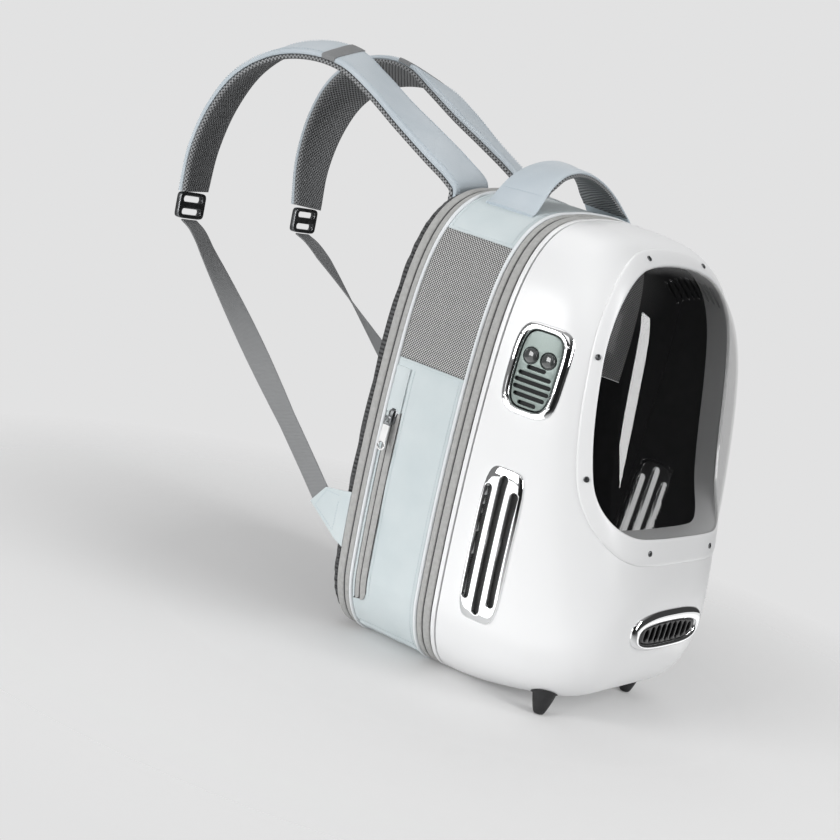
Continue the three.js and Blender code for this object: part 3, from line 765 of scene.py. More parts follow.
def webbing_weave():
    f = Finish("webbing_weave", (0.31, 0.315, 0.32), 0.75)
    ribs = f.weave(2.2, 1.6)
    shade = f.span(ribs, -1, 1, 0, 1)
    f.plug(f.tint(shade, (0.19, 0.195, 0.2), (0.31, 0.315, 0.32)), "Base Color")
    f.bump(ribs, 0.6, 0.3)
    return f.material


def thread(name, colour):
    f = Finish(name, colour, 0.7)
    dark, light = tuple(c * 0.75 for c in colour), tuple(min(1, c * 1.15) for c in colour)
    f.plug(f.tint(f.noise(1400), dark, light), "Base Color")
    return f.material


WHITE = plain("shell_white", (0.84, 0.845, 0.85), 0.2, uneven=(35, 3, 0.3, 0.38),
              grain=(420, 0.03, 0.2), coat=(0.2, 0.2))
# Near-black inside of the cabin. The same finish is painted shade in the rim's grooves and behind the
# control plate.
LINING_AND_SHADE = plain("cabin_lining_and_shade", (0.02, 0.021, 0.022), 0.8,
               shades=(90, 4, (0.012, 0.013, 0.014), (0.03, 0.031, 0.033)))
TINT = tinted_window("window_tint", 0.24, 0.5)
TINT_INSIDE = tinted_window("window_tint_inside", 0.04, 0.0)
CHROME = plain("chrome", (0.88, 0.885, 0.89), 0.05, 1.0, uneven=(60, 3, 0.02, 0.06),
               shades=(25, 2, (0.86, 0.865, 0.87), (0.92, 0.925, 0.93)))
BUTTON = plain("button_gloss", (0.05, 0.055, 0.055), 0.12, uneven=(300, 2, 0.08, 0.16),
               shades=(180, 2, (0.04, 0.045, 0.045), (0.065, 0.07, 0.07)), coat=(1.0, 0.03))
PAINT = plain("panel_paint", (0.3, 0.36, 0.34), 0.4, 0.35,
              shades=(900, 2, (0.165, 0.2, 0.188), (0.21, 0.25, 0.235)), grain=(1500, 0.12, 0.1))
TAPE = zip_tape()
COIL_AND_SHADE = zip_coil()
PIPING = soft_cloth("piping_cloth", (0.72, 0.75, 0.77), (0.82, 0.845, 0.86), 0.8, 0.2)
CLOTH = soft_cloth("gusset_cloth", (0.56, 0.632, 0.65), (0.66, 0.718, 0.73), 0.9, 0.3)
STRAP_CLOTH = soft_cloth("strap_cloth", (0.48, 0.547, 0.595), (0.585, 0.64, 0.683), 0.9, 0.25)
MESH = open_mesh("open_mesh", 2.7, 0.07, 0.68, 0.34, 0.4)
SCREEN = open_mesh("louver_screen", 2.2, 0.12, 0.32, -0.4, 0)
SPACER = spacer_mesh("spacer_mesh", (0.42, 0.43, 0.44))
BACK_MESH = spacer_mesh("back_mesh", (0.1, 0.102, 0.105), ("Object", "X", "Z"))
WEBBING = webbing_weave()
RUBBER = plain("foot_rubber", (0.014, 0.014, 0.015), 0.6, uneven=(120, 3, 0.5, 0.7),
               grain=(900, 0.15, 0.1))
BLACK = plain("black_plastic", (0.012, 0.012, 0.013), 0.35, uneven=(200, 3, 0.28, 0.45),
              grain=(700, 0.08, 0.1))
METAL = plain("dark_metal", (0.16, 0.165, 0.17), 0.3, 1.0, uneven=(150, 3, 0.2, 0.4),
              shades=(40, 3, (0.12, 0.125, 0.13), (0.24, 0.245, 0.25)))
SATIN = plain("satin_metal", (0.72, 0.72, 0.715), 0.35, 0.3, uneven=(150, 3, 0.28, 0.42),
              shades=(60, 3, (0.68, 0.68, 0.675), (0.78, 0.78, 0.775)))
PALE_THREAD = thread("pale_thread", (0.6, 0.68, 0.71))
STRAP_THREAD = thread("strap_thread", (0.5, 0.58, 0.64))


def dress(piece, *materials, body="pack", stands_for=(), slot=None):
    piece.data.materials.clear()
    for material in materials:
        piece.data.materials.append(material)
    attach(piece, body)
    if stands_for:
        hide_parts(*([stands_for] if isinstance(stands_for, str) else stands_for))
    return piece


def dress_pair(piece, material, slot, node=None):
    """Dresses a piece of the left side and its mirror image on the right."""
    twin = mirrored(piece, piece.name.replace("left", "right"))
    for side, shown in (("left", piece), ("right", twin)):
        dress(shown, material, stands_for=f"{node}_{side}" if node else (), slot=slot)


def paint_faces(piece, test):
    """Gives a piece's second material to the faces whose middle passes a test, in millimetres."""
    for face in piece.data.polygons:
        if test(*(face.center / MM)):
            face.material_index = 1


# Camera at the photograph's angle, above the floor.
CAMERA_AT = (-1672.4, -924.2, 546.1)
CAMERA_RIGHT = (0.5411, -0.7977, 0.2663)
CAMERA_UP = (0.0051, 0.3198, 0.9475)
CAMERA_LENS = 85.714
CAMERA_SENSOR = 36


def add_camera():
    data = bpy.data.cameras.new("camera")
    data.lens = CAMERA_LENS
    data.sensor_width = CAMERA_SENSOR
    camera = bpy.data.objects.new("camera", data)
    bpy.context.scene.collection.objects.link(camera)
    right, up = Vector(CAMERA_RIGHT), Vector(CAMERA_UP)
    turn = Matrix((right, up, right.cross(up))).transposed().to_4x4()
    camera.matrix_world = Matrix.Translation(Vector(CAMERA_AT) * MM) @ turn
    bpy.context.scene.camera = camera


# Hard front.
def inside_superellipse(u, v, a, b, power):
    return abs(u / a) ** power + abs(v / b) ** power < 1


def make_shell():
    around, rows = 300, 80
    bend = 2 / SHELL_POWER
    spokes = []
    for i in range(around):
        bx, bz = body.at(i / around)
        dx, dz = bx, bz - SHELL_MID_Z
        hole = (window_radius(math.atan2(dz, dx)) + SHELL_HOLE) / math.hypot(dx, dz)
        start = math.asin(hole ** (1 / bend))
        stop = math.acos(((RIM_Y - SHELL_EDGE_Y) / shell_depth(bz)) ** (1 / bend))
        spoke = []
        for k in range(rows + 1):
            angle = start + (stop - start) * (1 - (1 - k / rows) ** 1.7)
            r = math.sin(angle) ** bend
            x, z = r * dx, SHELL_MID_Z + r * dz
            y = RIM_Y - shell_depth(z) * math.cos(angle) ** bend
            spoke.append((x, y, drawn_up(y, z)))
        spokes.append(spoke)
    shell = sweep("front_shell_skin", spokes, wrap=False, closed=True,
                  outward=lambda x, y, z: (x, y + 40, z - SHELL_MID_Z))

    def inside(fitting, u, v, a, b):
        return inside_superellipse(u - fitting["y"], v - fitting["z"], a, b, fitting["power"])

    def in_fitting(x, y, z):
        if x < -SHELL_SIDE_X and inside(PANEL, y, z, PANEL["a"] - 5, PANEL["b"] - 4):
            return True
        if abs(x) > SHELL_SIDE_X and inside(LOUVER, y, z, LOUVER["a"] - 3, LOUVER["b"] - 3):
            return True
        a, b = GRILLE["a"] + 3, GRILLE["b"] + 3
        return y < SHELL_FRONT_Y and inside_superellipse(x, z - GRILLE["z"], a, b, VENT["power"])

    delete_faces(shell, in_fitting)
    dress(shell, WHITE, LINING_AND_SHADE, stands_for="front_shell", slot="shell")
    modify(shell, "SOLIDIFY", thickness=SHELL_WALL * MM, offset=-1, material_offset=1)
    smooth(shell, 50)


def make_window_frame():
    count = 260
    inner = [window_outline.at(i / count, 0.4) for i in range(count)]
    outer = [frame_outline.at(i / count) for i in range(count)]
    profile = [(0, -2), (0, 0.3), (0.03, 0.95), (0.08, 1.3), (0.16, 1.45), (0.34, 1.5), (0.52, 1.5),
               (0.7, 1.5), (0.84, 1.45), (0.92, 1.25), (0.97, 0.85), (1, 0.2), (1.01, -0.5), (0.9, -1.2),
               (0.5, -2)]
    ring = between("window_frame_ring", inner, outer, profile, on_front)
    smooth(ring, 60)
    dress(ring, WHITE, stands_for="window_frame", slot="shell")


def make_window_flange():
    """Inner wall of the window frame, which shows through the window as a pale band."""
    count = 200
    rings = []
    for i in range(count):
        (x0, z0), (x1, z1) = (window_outline.at(i / count, offset) for offset in (0.6, 2.4))
        y = shell_y(x0, z0) + 1.4
        rings.append([(x0, y, z0), (x0, y + FLANGE_DEPTH, z0), (x1, y + FLANGE_DEPTH, z1), (x1, y, z1)])
    dress(sweep("window_frame_flange", rings, closed=True), WHITE, slot="shell")


def make_window():
    """Bubble over the window outline, evened by a low-degree surface away from its edge."""
    around, rows = 260, 60
    mid_x, mid_z = WINDOW_MID
    half_x, half_z = 130, 117
    share = (np.arange(rows + 1) / rows) ** 0.8
    spokes = np.zeros((around, rows + 1, 3))
    for i in range(around):
        lx, lz = window_outline.at(i / around)
        for k in range(rows + 1):
            x, z = mid_x + share[k] * (lx - mid_x), mid_z + share[k] * (lz - mid_z)
            bulge = WINDOW_BULGE + WINDOW_BULGE_TOP * (z - mid_z)
            y = shell_y(x, z) - 0.6 - bulge * (1 - min(1, share[k]) ** 2.4) ** 0.75
            spokes[i, k] = (x, y, z)
    u, v = spokes[:, :, 0] / half_x, (spokes[:, :, 2] - mid_z) / half_z
    powers = [(2 * a, b) for a in range(3) for b in range(6 - 2 * a)]
    terms = np.stack([u**a * v**b for a, b in powers], axis=-1)
    weight = (1 - share**6)[None, :, None] + 0.02
    fit = np.linalg.lstsq((terms * weight).reshape(-1, len(powers)),
                          (spokes[:, :, 1] * weight[..., 0]).ravel(), rcond=None)[0]
    hold = share**7
    spokes[:, :, 1] = hold * spokes[:, :, 1] + (1 - hold) * (terms @ fit)
    window = sweep("window_bubble", spokes, wrap=False, closed=True, outward=lambda x, y, z: (0, -1, 0))
    dress(window, TINT, TINT_INSIDE, stands_for="window", slot="window")
    modify(window, "SOLIDIFY", thickness=WINDOW_WALL * MM, offset=-1, material_offset=1)
    slot = WINDOW_SLOT
    tools = []
    for i in range(WINDOW_SLOTS):
        u = (i - (WINDOW_SLOTS - 1) / 2) * slot["pitch"]
        v = slot["z"] - slot["drop"] * u * u
        loop = slot_outline(u, v, slot["half"], slot["radius"], True, 6, slot["slant"])
        tools.append(sweep(f"slot_{i}", [[(x, y, z) for x, z in loop] for y in (-300, -100)]))
    cutter = join(tools)
    modify(window, "BOOLEAN", operation="DIFFERENCE", object=cutter, solver="EXACT")
    bpy.data.objects.remove(cutter)
    smooth(window, 50)


def make_screws():
    deselect()
    bpy.ops.mesh.primitive_cylinder_add(
        vertices=24, radius=2.7 * MM, depth=1.4 * MM, location=(0, 0, 0.7 * MM))
    bpy.ops.object.transform_apply(location=True)
    screw = bpy.context.active_object

    def recess():
        bpy.ops.mesh.select_all(action="DESELECT")
        bpy.ops.object.mode_set(mode="OBJECT")
        for face in screw.data.polygons:
            face.select = face.normal.z > 0.9
        bpy.ops.object.mode_set(mode="EDIT")
        bpy.ops.mesh.inset(thickness=0.5 * MM)
        bpy.ops.transform.translate(value=(0, 0, 0.25 * MM))
        bpy.ops.mesh.inset(thickness=0.9 * MM)
        bpy.ops.mesh.extrude_region_move(TRANSFORM_OT_translate={"value": (0, 0, -0.9 * MM)})

    edit(screw, recess)
    modify(screw, "BEVEL", width=0.12 * MM, segments=2, limit_method="ANGLE")
    places = [(side * x, z) for x, z in SCREWS for side in (-1, 1)]
    for i, (x, z) in enumerate(places):
        foot = on_front(x, z, SCREW_RISE)
        twin = copy_of(screw, f"screw_head_{i + 1}", stand_on(foot, shell_normal(x, z)))
        smooth(twin, 35)
        dress(twin, METAL, stands_for=f"window_screw_{i + 1}", slot="chrome")
    bpy.data.objects.remove(screw)


# Control panel, side vents, front vent and feet.
def rounded_plate(fitting, a, b, count):
    """Outline of a fitting on the side, with its own half sizes."""
    return superellipse(fitting["y"], fitting["z"], a, b, fitting["power"], count)


def side_sheet(name, side, fitting, half_y, half_z, along, depth, wall):
    """Thin sheet under a fitting on the shell's side, at a depth below the surface."""
    across = 8
    rows = []
    for k in range(along + 1):
        z = fitting["z"] - half_z + 2 * half_z * k / along
        ys = [fitting["y"] - half_y + 2 * half_y * i / across for i in range(across + 1)]
        rows.append([on_side(side)(y, z, -depth) for y in ys])
    sheet = sweep(name, rows, wrap=False, outward=lambda x, y, z: (x, 0, 0))
    modify(sheet, "SOLIDIFY", thickness=wall * MM, offset=-1)
    return sheet


def make_controls():
    left = on_side(-1)
    middle_y, middle_z = PANEL["y"], PANEL["z"]
    plate_a, plate_b = PANEL["a"] - PANEL["rim_y"], PANEL["b"] - PANEL["rim_z"]
    profile = [(0, -2.2), (0, 0.3), (0.03, 1.6), (0.1, 2.7), (0.2, 3.3), (0.34, 3.65), (0.5, 3.7),
               (0.64, 3.45), (0.76, 2.9), (0.86, 2.1), (0.94, 1.1), (0.985, 0.2), (1, -0.6), (1, -2.2),
               (0.5, -2.2)]
    outer = rounded_plate(PANEL, PANEL["a"], PANEL["b"], 120)
    inner = rounded_plate(PANEL, plate_a, plate_b, 120)
    bezel = between("panel_bezel", inner, outer, profile, left)
    dress(bezel, CHROME, stands_for="control_bezel", slot="chrome")

    a, b = plate_a - 1.1, plate_b - 1.1
    places = [middle_y + BUTTON_SPREAD, middle_y - BUTTON_SPREAD]
    hole = BUTTON_RADIUS + 0.4
    holes = [slot_outline(middle_y, z, half, 1.8, False) for z, half in PANEL_SLOTS]
    holes += [superellipse(y, BUTTON_Z, hole, hole, 2, 28) for y in places]
    plate = flat_plate("panel_plate", rounded_plate(PANEL, a, b, 72), holes, -2, 0.4, 0.45,
                       steps_between(middle_y - a, middle_y + a, 6),
                       steps_between(middle_z - b, middle_z + b, 11), left)
    dress(plate, PAINT, stands_for="control_plate", slot="plate")

    cap = [(0.01, 3.7), (1.6, 3.66), (3.4, 3.42), (4.9, 2.95), (5.9, 2.3), (6.5, 1.5), (6.75, 0.8),
           (6.8, 0.45), (7.15, 0.3), (7.2, -0.2), (7.2, -4.4), (8.3, -4.5), (8.3, -5.3), (0.01, -5.4)]
    for y, name in zip(places, ("fan_button", "light_button")):
        button = turned(name + "_cap", cap, 40)
        button.data.transform(stand_on(left(y, BUTTON_Z, 0), (-1, 0, 0)))
        smooth(button, 30)
        dress(button, BUTTON, body=name, stands_for=name, slot="chrome")
    # Painted shade: a near-black sheet under the plate, seen through its slots, its button holes and the
    # gap round its edge.
    dress(side_sheet("panel_shade_backing", -1, PANEL, 19, 36, 16, 3.6, 1.2), LINING_AND_SHADE, slot="grille")

    screw = [(0.01, 3.8), (0.7, 3.8), (0.72, 4.3), (1.5, 4.25), (1.9, 3.9), (2.05, 3.3), (2.05, 0.6)]
    for i, (u, v) in enumerate(BEZEL_SCREWS):
        head = turned(f"bezel_screw_{i + 1}", screw, 18)
        head.data.transform(stand_on(left(middle_y + u, middle_z + v, 0), (-1, 0, 0)))
        smooth(head, 35)
        dress(head, CHROME, slot="chrome")


def make_side_vents():
    y, z, a, b, power = (LOUVER[key] for key in ("y", "z", "a", "b", "power"))
    holes = [slot_outline(y + u, z, half, LOUVER_SLOT, True) for u, half in LOUVER_SLOTS]
    for side, name in ((-1, "left"), (1, "right")):
        def crowned(u, v, h):
            reach = (abs((u - y) / a) ** power + abs((v - z) / b) ** power) ** (1 / power)
            turn = clamp((reach - 0.76) / 0.24)
            return on_side(side)(u, v, h - 3.8 * (1 - math.sqrt(1 - turn * turn)))

        vent = flat_plate(f"side_louver_{name}", rounded_plate(LOUVER, a, b, 96), holes, -1.4, 4.6, 1.0,
                          steps_between(y - a, y + a, 41), steps_between(z - b, z + b, 48), crowned)
        dress(vent, CHROME, stands_for=f"side_vent_{name}", slot="chrome")
        screen = side_sheet(f"louver_screen_{name}", side, LOUVER, 19, 70, 28, 2.6, 0.3)
        dress(screen, SCREEN, stands_for=f"side_screen_{name}", slot="mesh")


def make_front_vent():
    a, b, z, power = GRILLE["a"], GRILLE["b"], GRILLE["z"], VENT["power"]
    count = 140
    outer = superellipse(0, VENT["z"], VENT["a"], VENT["b"], power, count)
    inner = superellipse(0, z, a, b, power, count)
    profile = [(0, -2.2), (0, 0.2), (0.05, 1.4), (0.14, 2.3), (0.3, 2.95), (0.5, 3.2), (0.68, 3.0),
               (0.82, 2.4), (0.93, 1.4), (1, 0.2), (1, -2.2), (0.5, -2.2)]
    ring = between("front_vent_ring", inner, outer, profile, on_front)
    dress(ring, CHROME, stands_for="front_vent", slot="chrome")
    holes = []
    for i in range(-4, 5):
        reach = (abs(i) * GRILLE["pitch"] + GRILLE["slot"]) / a
        half = b * (1 - reach**power) ** (1 / power) - 1.8
        holes.append(slot_outline(i * GRILLE["pitch"], z, half, GRILLE["slot"], True))
    outline = superellipse(0, z, a - 0.3, b - 0.3, power, 72)
    grille = flat_plate("front_vent_grille", outline, holes, -2, 0.8, 0.9,
                        steps_between(-a, a, 15), steps_between(z - 10, z + 10, 3), on_front)
    dress(grille, BLACK, stands_for="front_grille", slot="grille")


def make_feet():
    profile = [(0.6, 0), (3.2, 0), (4.6, 0.5), (5.6, 2), (6.8, 5), (8.4, 10), (10, 16), (11.2, 21),
               (12.5, None)]
    for side, name in ((-1, "left"), (1, "right")):
        rings = []
        for radius, height in profile:
            ring = []
            for k in range(36):
                t = k * math.pi / 18
                x, y = side * FOOT["x"] + radius * math.cos(t), FOOT["y"] + radius * math.sin(t)
                ring.append((x, y, shell_underside(x, y) - 0.5 if height is None else height))
            rings.append(ring)
        foot = sweep(f"rubber_foot_{name}", rings)
        smooth(foot, 50)
        dress(foot, RUBBER, stands_for=f"foot_{name}", slot="rubber")


# Zips, piping and cloth of the body.
def tape_profile(y0, y1):
    """Cross-section of a tape with soft edges: offset from the outline, depth."""
    crown, thick = 0.35, 1.7
    middle = (y0 + y1) / 2
    half = (y1 - y0) / 2
    upper = []
    for k in range(11):
        t = -1 + 2 * k / 10
        upper.append((crown * (1 - t * t) - 0.55 * abs(t) ** 12, middle + half * t))
    return upper + [(-thick, y1), (-thick, middle), (-thick, y0)]


def make_trims():
    low, high = RIM_BEAD_Y
    rim = around_body("shell_rim_bead", [
        (-4.2, -63), (-2.7, -63), (-2.7, low), (-0.2, low), (0.3, -58.8), (0.5, -58.2), (0.55, -56.8),
        (0.5, -55.4), (0.3, -54.8), (-0.2, high), (-1.9, high), (-1.9, -53.1), (-4.2, -53.1)])
    dress(rim, WHITE, LINING_AND_SHADE, stands_for="shell_rim", slot="shell")
    # Painted shade: the flanges down in the grooves either side of the bead take the near-black second
    # material.
    paint_faces(rim, lambda x, y, z: not low - 0.01 <= y <= high + 0.01)
    for node, (y0, y1) in ZIP_TAPES.items():
        dress(around_body(node + "_band", tape_profile(y0, y1)), TAPE, stands_for=node, slot="tape")
    for node, (y0, y1) in ZIP_COILS.items():
        coil = around_body(node + "_row", [(-2.4, y0), (-1.5, y0), (-0.95, y0 + 0.9), (-0.8, (y0 + y1) / 2),
                                           (-0.95, y1 - 0.9), (-1.5, y1), (-2.4, y1)])
        dress(coil, COIL_AND_SHADE, stands_for=node, slot="coil")
    for node, y in (("piping_front", PIPING_FRONT_Y), ("piping_back", PIPING_BACK_Y)):
        circle = superellipse(-0.3, y, PIPING_RADIUS, PIPING_RADIUS, 2, 12)
        dress(around_body(node + "_cord", circle), PIPING, stands_for=node, slot="piping")


def make_rim_linings():
    """Dark bands in the cabin that cover the zips from behind, their edges turned out to the walls."""
    front = [(-5.2, -76), (-2, -76), (-2, -75), (-4.4, -74.5), (-4.4, -34), (-2, -33.5), (-2, -32.5),
             (-5.2, -32.5)]
    back = [(-5.2, 35.5), (-2, 35.5), (-2, 36.5), (-4.4, 37), (-4.4, 56.2), (-9, 62), (-9.8, 62),
            (-5.2, 55.6)]
    for name, profile in (("rim_lining_front", front), ("rim_lining_back", back)):
        dress(around_body(name, profile), LINING_AND_SHADE, slot="cloth")


def pucker(share, y, amount):
    """Soft unevenness of stretched cloth, gone at the sewn edges."""
    edge = min(y - GUSSET_Y[0], GUSSET_Y[1] - y) / 12
    along = share * body.length
    relief = noise.noise(Vector((along * 0.021, y * 0.03, 3.1)))
    relief += 0.5 * noise.noise(Vector((along * 0.06, y * 0.05, 8.7)))
    return amount * relief * clamp(edge)


def hem(share):
    """Seam across the gusset just above the bottom: a groove over a soft roll."""
    up = (abs((share + 0.5) % 1.0 - 0.5) - HEM_SHARE) * body.length
    return 0.7 * math.exp(-(((up + 4) / 2.6) ** 2)) - 0.9 * math.exp(-((up / 1.1) ** 2))


def gusset_strip(name, share0, share1, along, wall, amount, material, inner, nodes, slot):
    """Stretched cloth between the pipings, from one share of the outline to another."""
    across = 30
    rows = []
    for k in range(along + 1):
        share = share0 + (share1 - share0) * k / along
        row = []
        for i in range(across + 1):
            y = GUSSET_Y[0] + (GUSSET_Y[1] - GUSSET_Y[0]) * i / across
            x, z = body.at(share, pucker(share, y, amount) - 0.25 + hem(share))
            row.append((x, y, max(z, 0.0)))
        rows.append(row)
    piece = sweep(name, rows, wrap=False, outward=lambda x, y, z: (x, 0, z - 220))
    materials = (material, inner) if inner else (material,)
    dress(piece, *materials, stands_for=nodes, slot=slot)
    modify(piece, "SOLIDIFY", thickness=wall * MM, offset=-1, material_offset=1 if inner else 0)


def make_gusset():
    low = body.share_at(MESH_Z[0] - 0.3)
    high = body.share_at(MESH_Z[1] + 0.3)
    mesh_low, mesh_high = body.share_at(MESH_Z[0]), body.share_at(MESH_Z[1])
    gusset_strip("gusset_lower_cloth", -low, low, 300, 2.4, 0.9, CLOTH, LINING_AND_SHADE, "gusset_lower", "cloth")
    gusset_strip("gusset_top_cloth", high, 1 - high, 110, 2.4, 0.7, CLOTH, LINING_AND_SHADE, "gusset_top", "cloth")
    for side, ends in (("right", (mesh_low, mesh_high)), ("left", (1 - mesh_high, 1 - mesh_low))):
        gusset_strip(f"side_mesh_{side}", *ends, 50, 0.3, 0.6, MESH, None, f"mesh_{side}", "mesh")


def puff(piece, sewn, reach, ceiling):
    """Blows a pad up as cloth with air inside, held where it is sewn, within a reach and a ceiling in Y."""
    modify(piece, "REMESH", mode="VOXEL", voxel_size=PUFF_VOXEL * MM)
    before = [point.co.copy() for point in piece.data.vertices]
    group = piece.vertex_groups.new(name="sewn")
    group.add([k for k, co in enumerate(before) if sewn(co)], 1.0, "REPLACE")
    make_active(piece)
    cloth = piece.modifiers.new("cloth", "CLOTH")
    cloth.settings.vertex_group_mass = "sewn"
    cloth.settings.use_pressure = True
    cloth.settings.uniform_pressure_force = PUFF_PRESSURE
    cloth.settings.effector_weights.gravity = 0
    for step in range(1, PUFF_STEPS + 1):
        bpy.context.scene.frame_set(step)
    bpy.ops.object.modifier_apply(modifier="cloth")
    bpy.context.scene.frame_set(1)
    piece.vertex_groups.clear()
    for point, start in zip(piece.data.vertices, before):
        move = point.co - start
        if move.length > reach:
            point.co = start + move * (reach / move.length)
        point.co.y = min(point.co.y, ceiling)
    modify(piece, "SUBSURF", levels=1, render_levels=1)
    edit(piece, face_out)
    smooth(piece, 60)


def make_back_panel():
    rings = []
    profile = [(-3.4, BACK_PANEL_Y), (-3.4, 58), (-3.5, 61), (-3.9, 63.5), (-5, 65.8), (-7.5, 67.8),
               (-12, 69.2), (-18, 69.8), (-40, 70), (-75, 70), (-110, 70)]
    count = 220
    for offset, y in profile:
        ring = []
        for k in range(count):
            if offset > -30:
                x, z = body.at(k / count, offset)
            else:
                x, z = body.at(k / count)
                shrink = 1 + offset / 155
                x, z = x * shrink, BACK_PANEL_MID_Z + (z - BACK_PANEL_MID_Z) * shrink
            ring.append((x, y, z))
        rings.append(ring)
    panel = sweep("back_panel_pad", rings)
    puff(panel, lambda p: p.y < BACK_PANEL_SEWN_Y * MM, PUFF_REACH * MM, BACK_PANEL_TOP_Y * MM)
    dress(panel, BACK_MESH, LINING_AND_SHADE, stands_for="back_panel", slot="spacer")
    paint_faces(panel, lambda x, y, z: y < BACK_PANEL_Y + 0.5)


# Handle, straps, webbing, pocket.
def ribbon_rings(edge_a, edge_b, profile):
    rings = []
    for k in range(len(edge_a)):
        a, b = edge_a[k], edge_b[k]
        before, after = max(0, k - 1), min(len(edge_a) - 1, k + 1)
        run = edge_a[after] + edge_b[after] - edge_a[before] - edge_b[before]
        up = np.cross(run, b - a)
        up = up / np.linalg.norm(up)
        rings.append([tuple(a + c * (b - a) + h * up) for c, h in profile])
    return rings


def crowned_top(c, low, rise):
    """Height of a padded face at a share across, flat in the middle and lower at the edges."""
    return low + rise * (1 - (2 * c - 1) ** 4)


def pad_profile(low, high, crown, edge):
    """Padded strap in section: share across, height."""
    middle = (low + high) / 2
    turn, upper, lower = edge * 0.25, high - (high - middle) * 0.35, low + (middle - low) * 0.35
    shares = [edge + (1 - 2 * edge) * k / 12 for k in range(1, 12)]
    return [
        (0.0, middle), (turn, upper), (edge, high), *((t, crowned_top(t, high, crown)) for t in shares),
        (1 - edge, high), (1 - turn, upper), (1.0, middle), (1 - turn, lower), (1 - edge, low),
        (0.75, low), (0.5, low), (0.25, low), (edge, low), (turn, lower),
    ]


def make_handle():
    front = spline([(x, -HANDLE_HALF_WIDTH, z) for x, z in HANDLE_FRONT], 90)
    back = spline([(x, HANDLE_HALF_WIDTH, z) for x, z in HANDLE_BACK], 90)
    cover = sweep("handle_pad", ribbon_rings(front, back, pad_profile(-3, -0.3, 0.9, 0.04)))
    dress(cover, STRAP_CLOTH, stands_for="handle_cover", slot="strap")
    across = [(c, crowned_top(c, 0.1, 0.9)) for c in np.linspace(0.06, 0.94, 24)]
    rows = ribbon_rings(front, back, across)
    for name, k in (("left", 9), ("right", -10)):
        dress(sew(f"handle_stitches_{name}", rows[k], *HANDLE_STITCH), STRAP_THREAD, slot="strap")
    rings = []
    first, last = 10, 80
    for k in range(first, last + 1):
        full = 0.3 + 0.7 * smoothstep(min(k - first, last - k), 0, 7)
        profile = [(c, -2.2 - full * h) for c, h in (
            (0.02, 0), (0.98, 0), (1.004, 1.2), (1.004, 3), (0.97, 4.1), (0.8, 4.4), (0.5, 4.5),
            (0.2, 4.4), (0.03, 4.1), (-0.004, 3), (-0.004, 1.2))]
        rings.append(ribbon_rings(front[k - 1 : k + 2], back[k - 1 : k + 2], profile)[1])
    lining = sweep("handle_grip", rings)
    dress(lining, SPACER, stands_for="handle_lining", slot="spacer")


def make_straps():
    stations = 120
    inner, outer = spline(STRAP_INNER, stations), spline(STRAP_OUTER, stations)
    cover = sweep("strap_pad_left", ribbon_rings(inner, outer, pad_profile(-5, -0.3, 0.8, 0.035)))
    mesh = sweep("strap_mesh_pad_left", ribbon_rings(inner, outer, [
        (0.012, -5.3), (0.988, -5.3), (1.0, -6.2), (1.004, -7.4), (0.997, -8.7), (0.97, -9.7),
        (0.9, -10.1), (0.5, -10.3), (0.1, -10.1), (0.03, -9.7), (0.003, -8.7), (-0.004, -7.4),
        (0.0, -6.2)]))
    first, last = (round(s * stations) for s in STRAP_BAND)
    cross = slice(first, last + 1)
    crown = [(k / 12, crowned_top(k / 12, 0.55, 0.8)) for k in range(13)]
    band = sweep("strap_cross_band_left", ribbon_rings(inner[cross], outer[cross], [
        (-0.012, -4.0), (-0.012, -0.4), *crown, (1.012, -0.4), (1.012, -4.0), (0.996, -4.0), (0.985, -0.8),
        (0.5, 0.6), (0.015, -0.8), (0.004, -4.0)]))
    dress_pair(cover, STRAP_CLOTH, "strap", "strap_cover")
    dress_pair(mesh, SPACER, "spacer", "strap_mesh")
    dress_pair(band, WEBBING, "webbing", "strap_band")
    edge_rows = ribbon_rings(inner, outer, [(0.075, 0.62), (0.925, 0.62)])
    for k, name in enumerate(("inner", "outer")):
        row = sew(f"strap_stitches_{name}_left", [ring[k] for ring in edge_rows[2:-2]], *STRAP_STITCH)
        dress_pair(row, STRAP_THREAD, "strap")


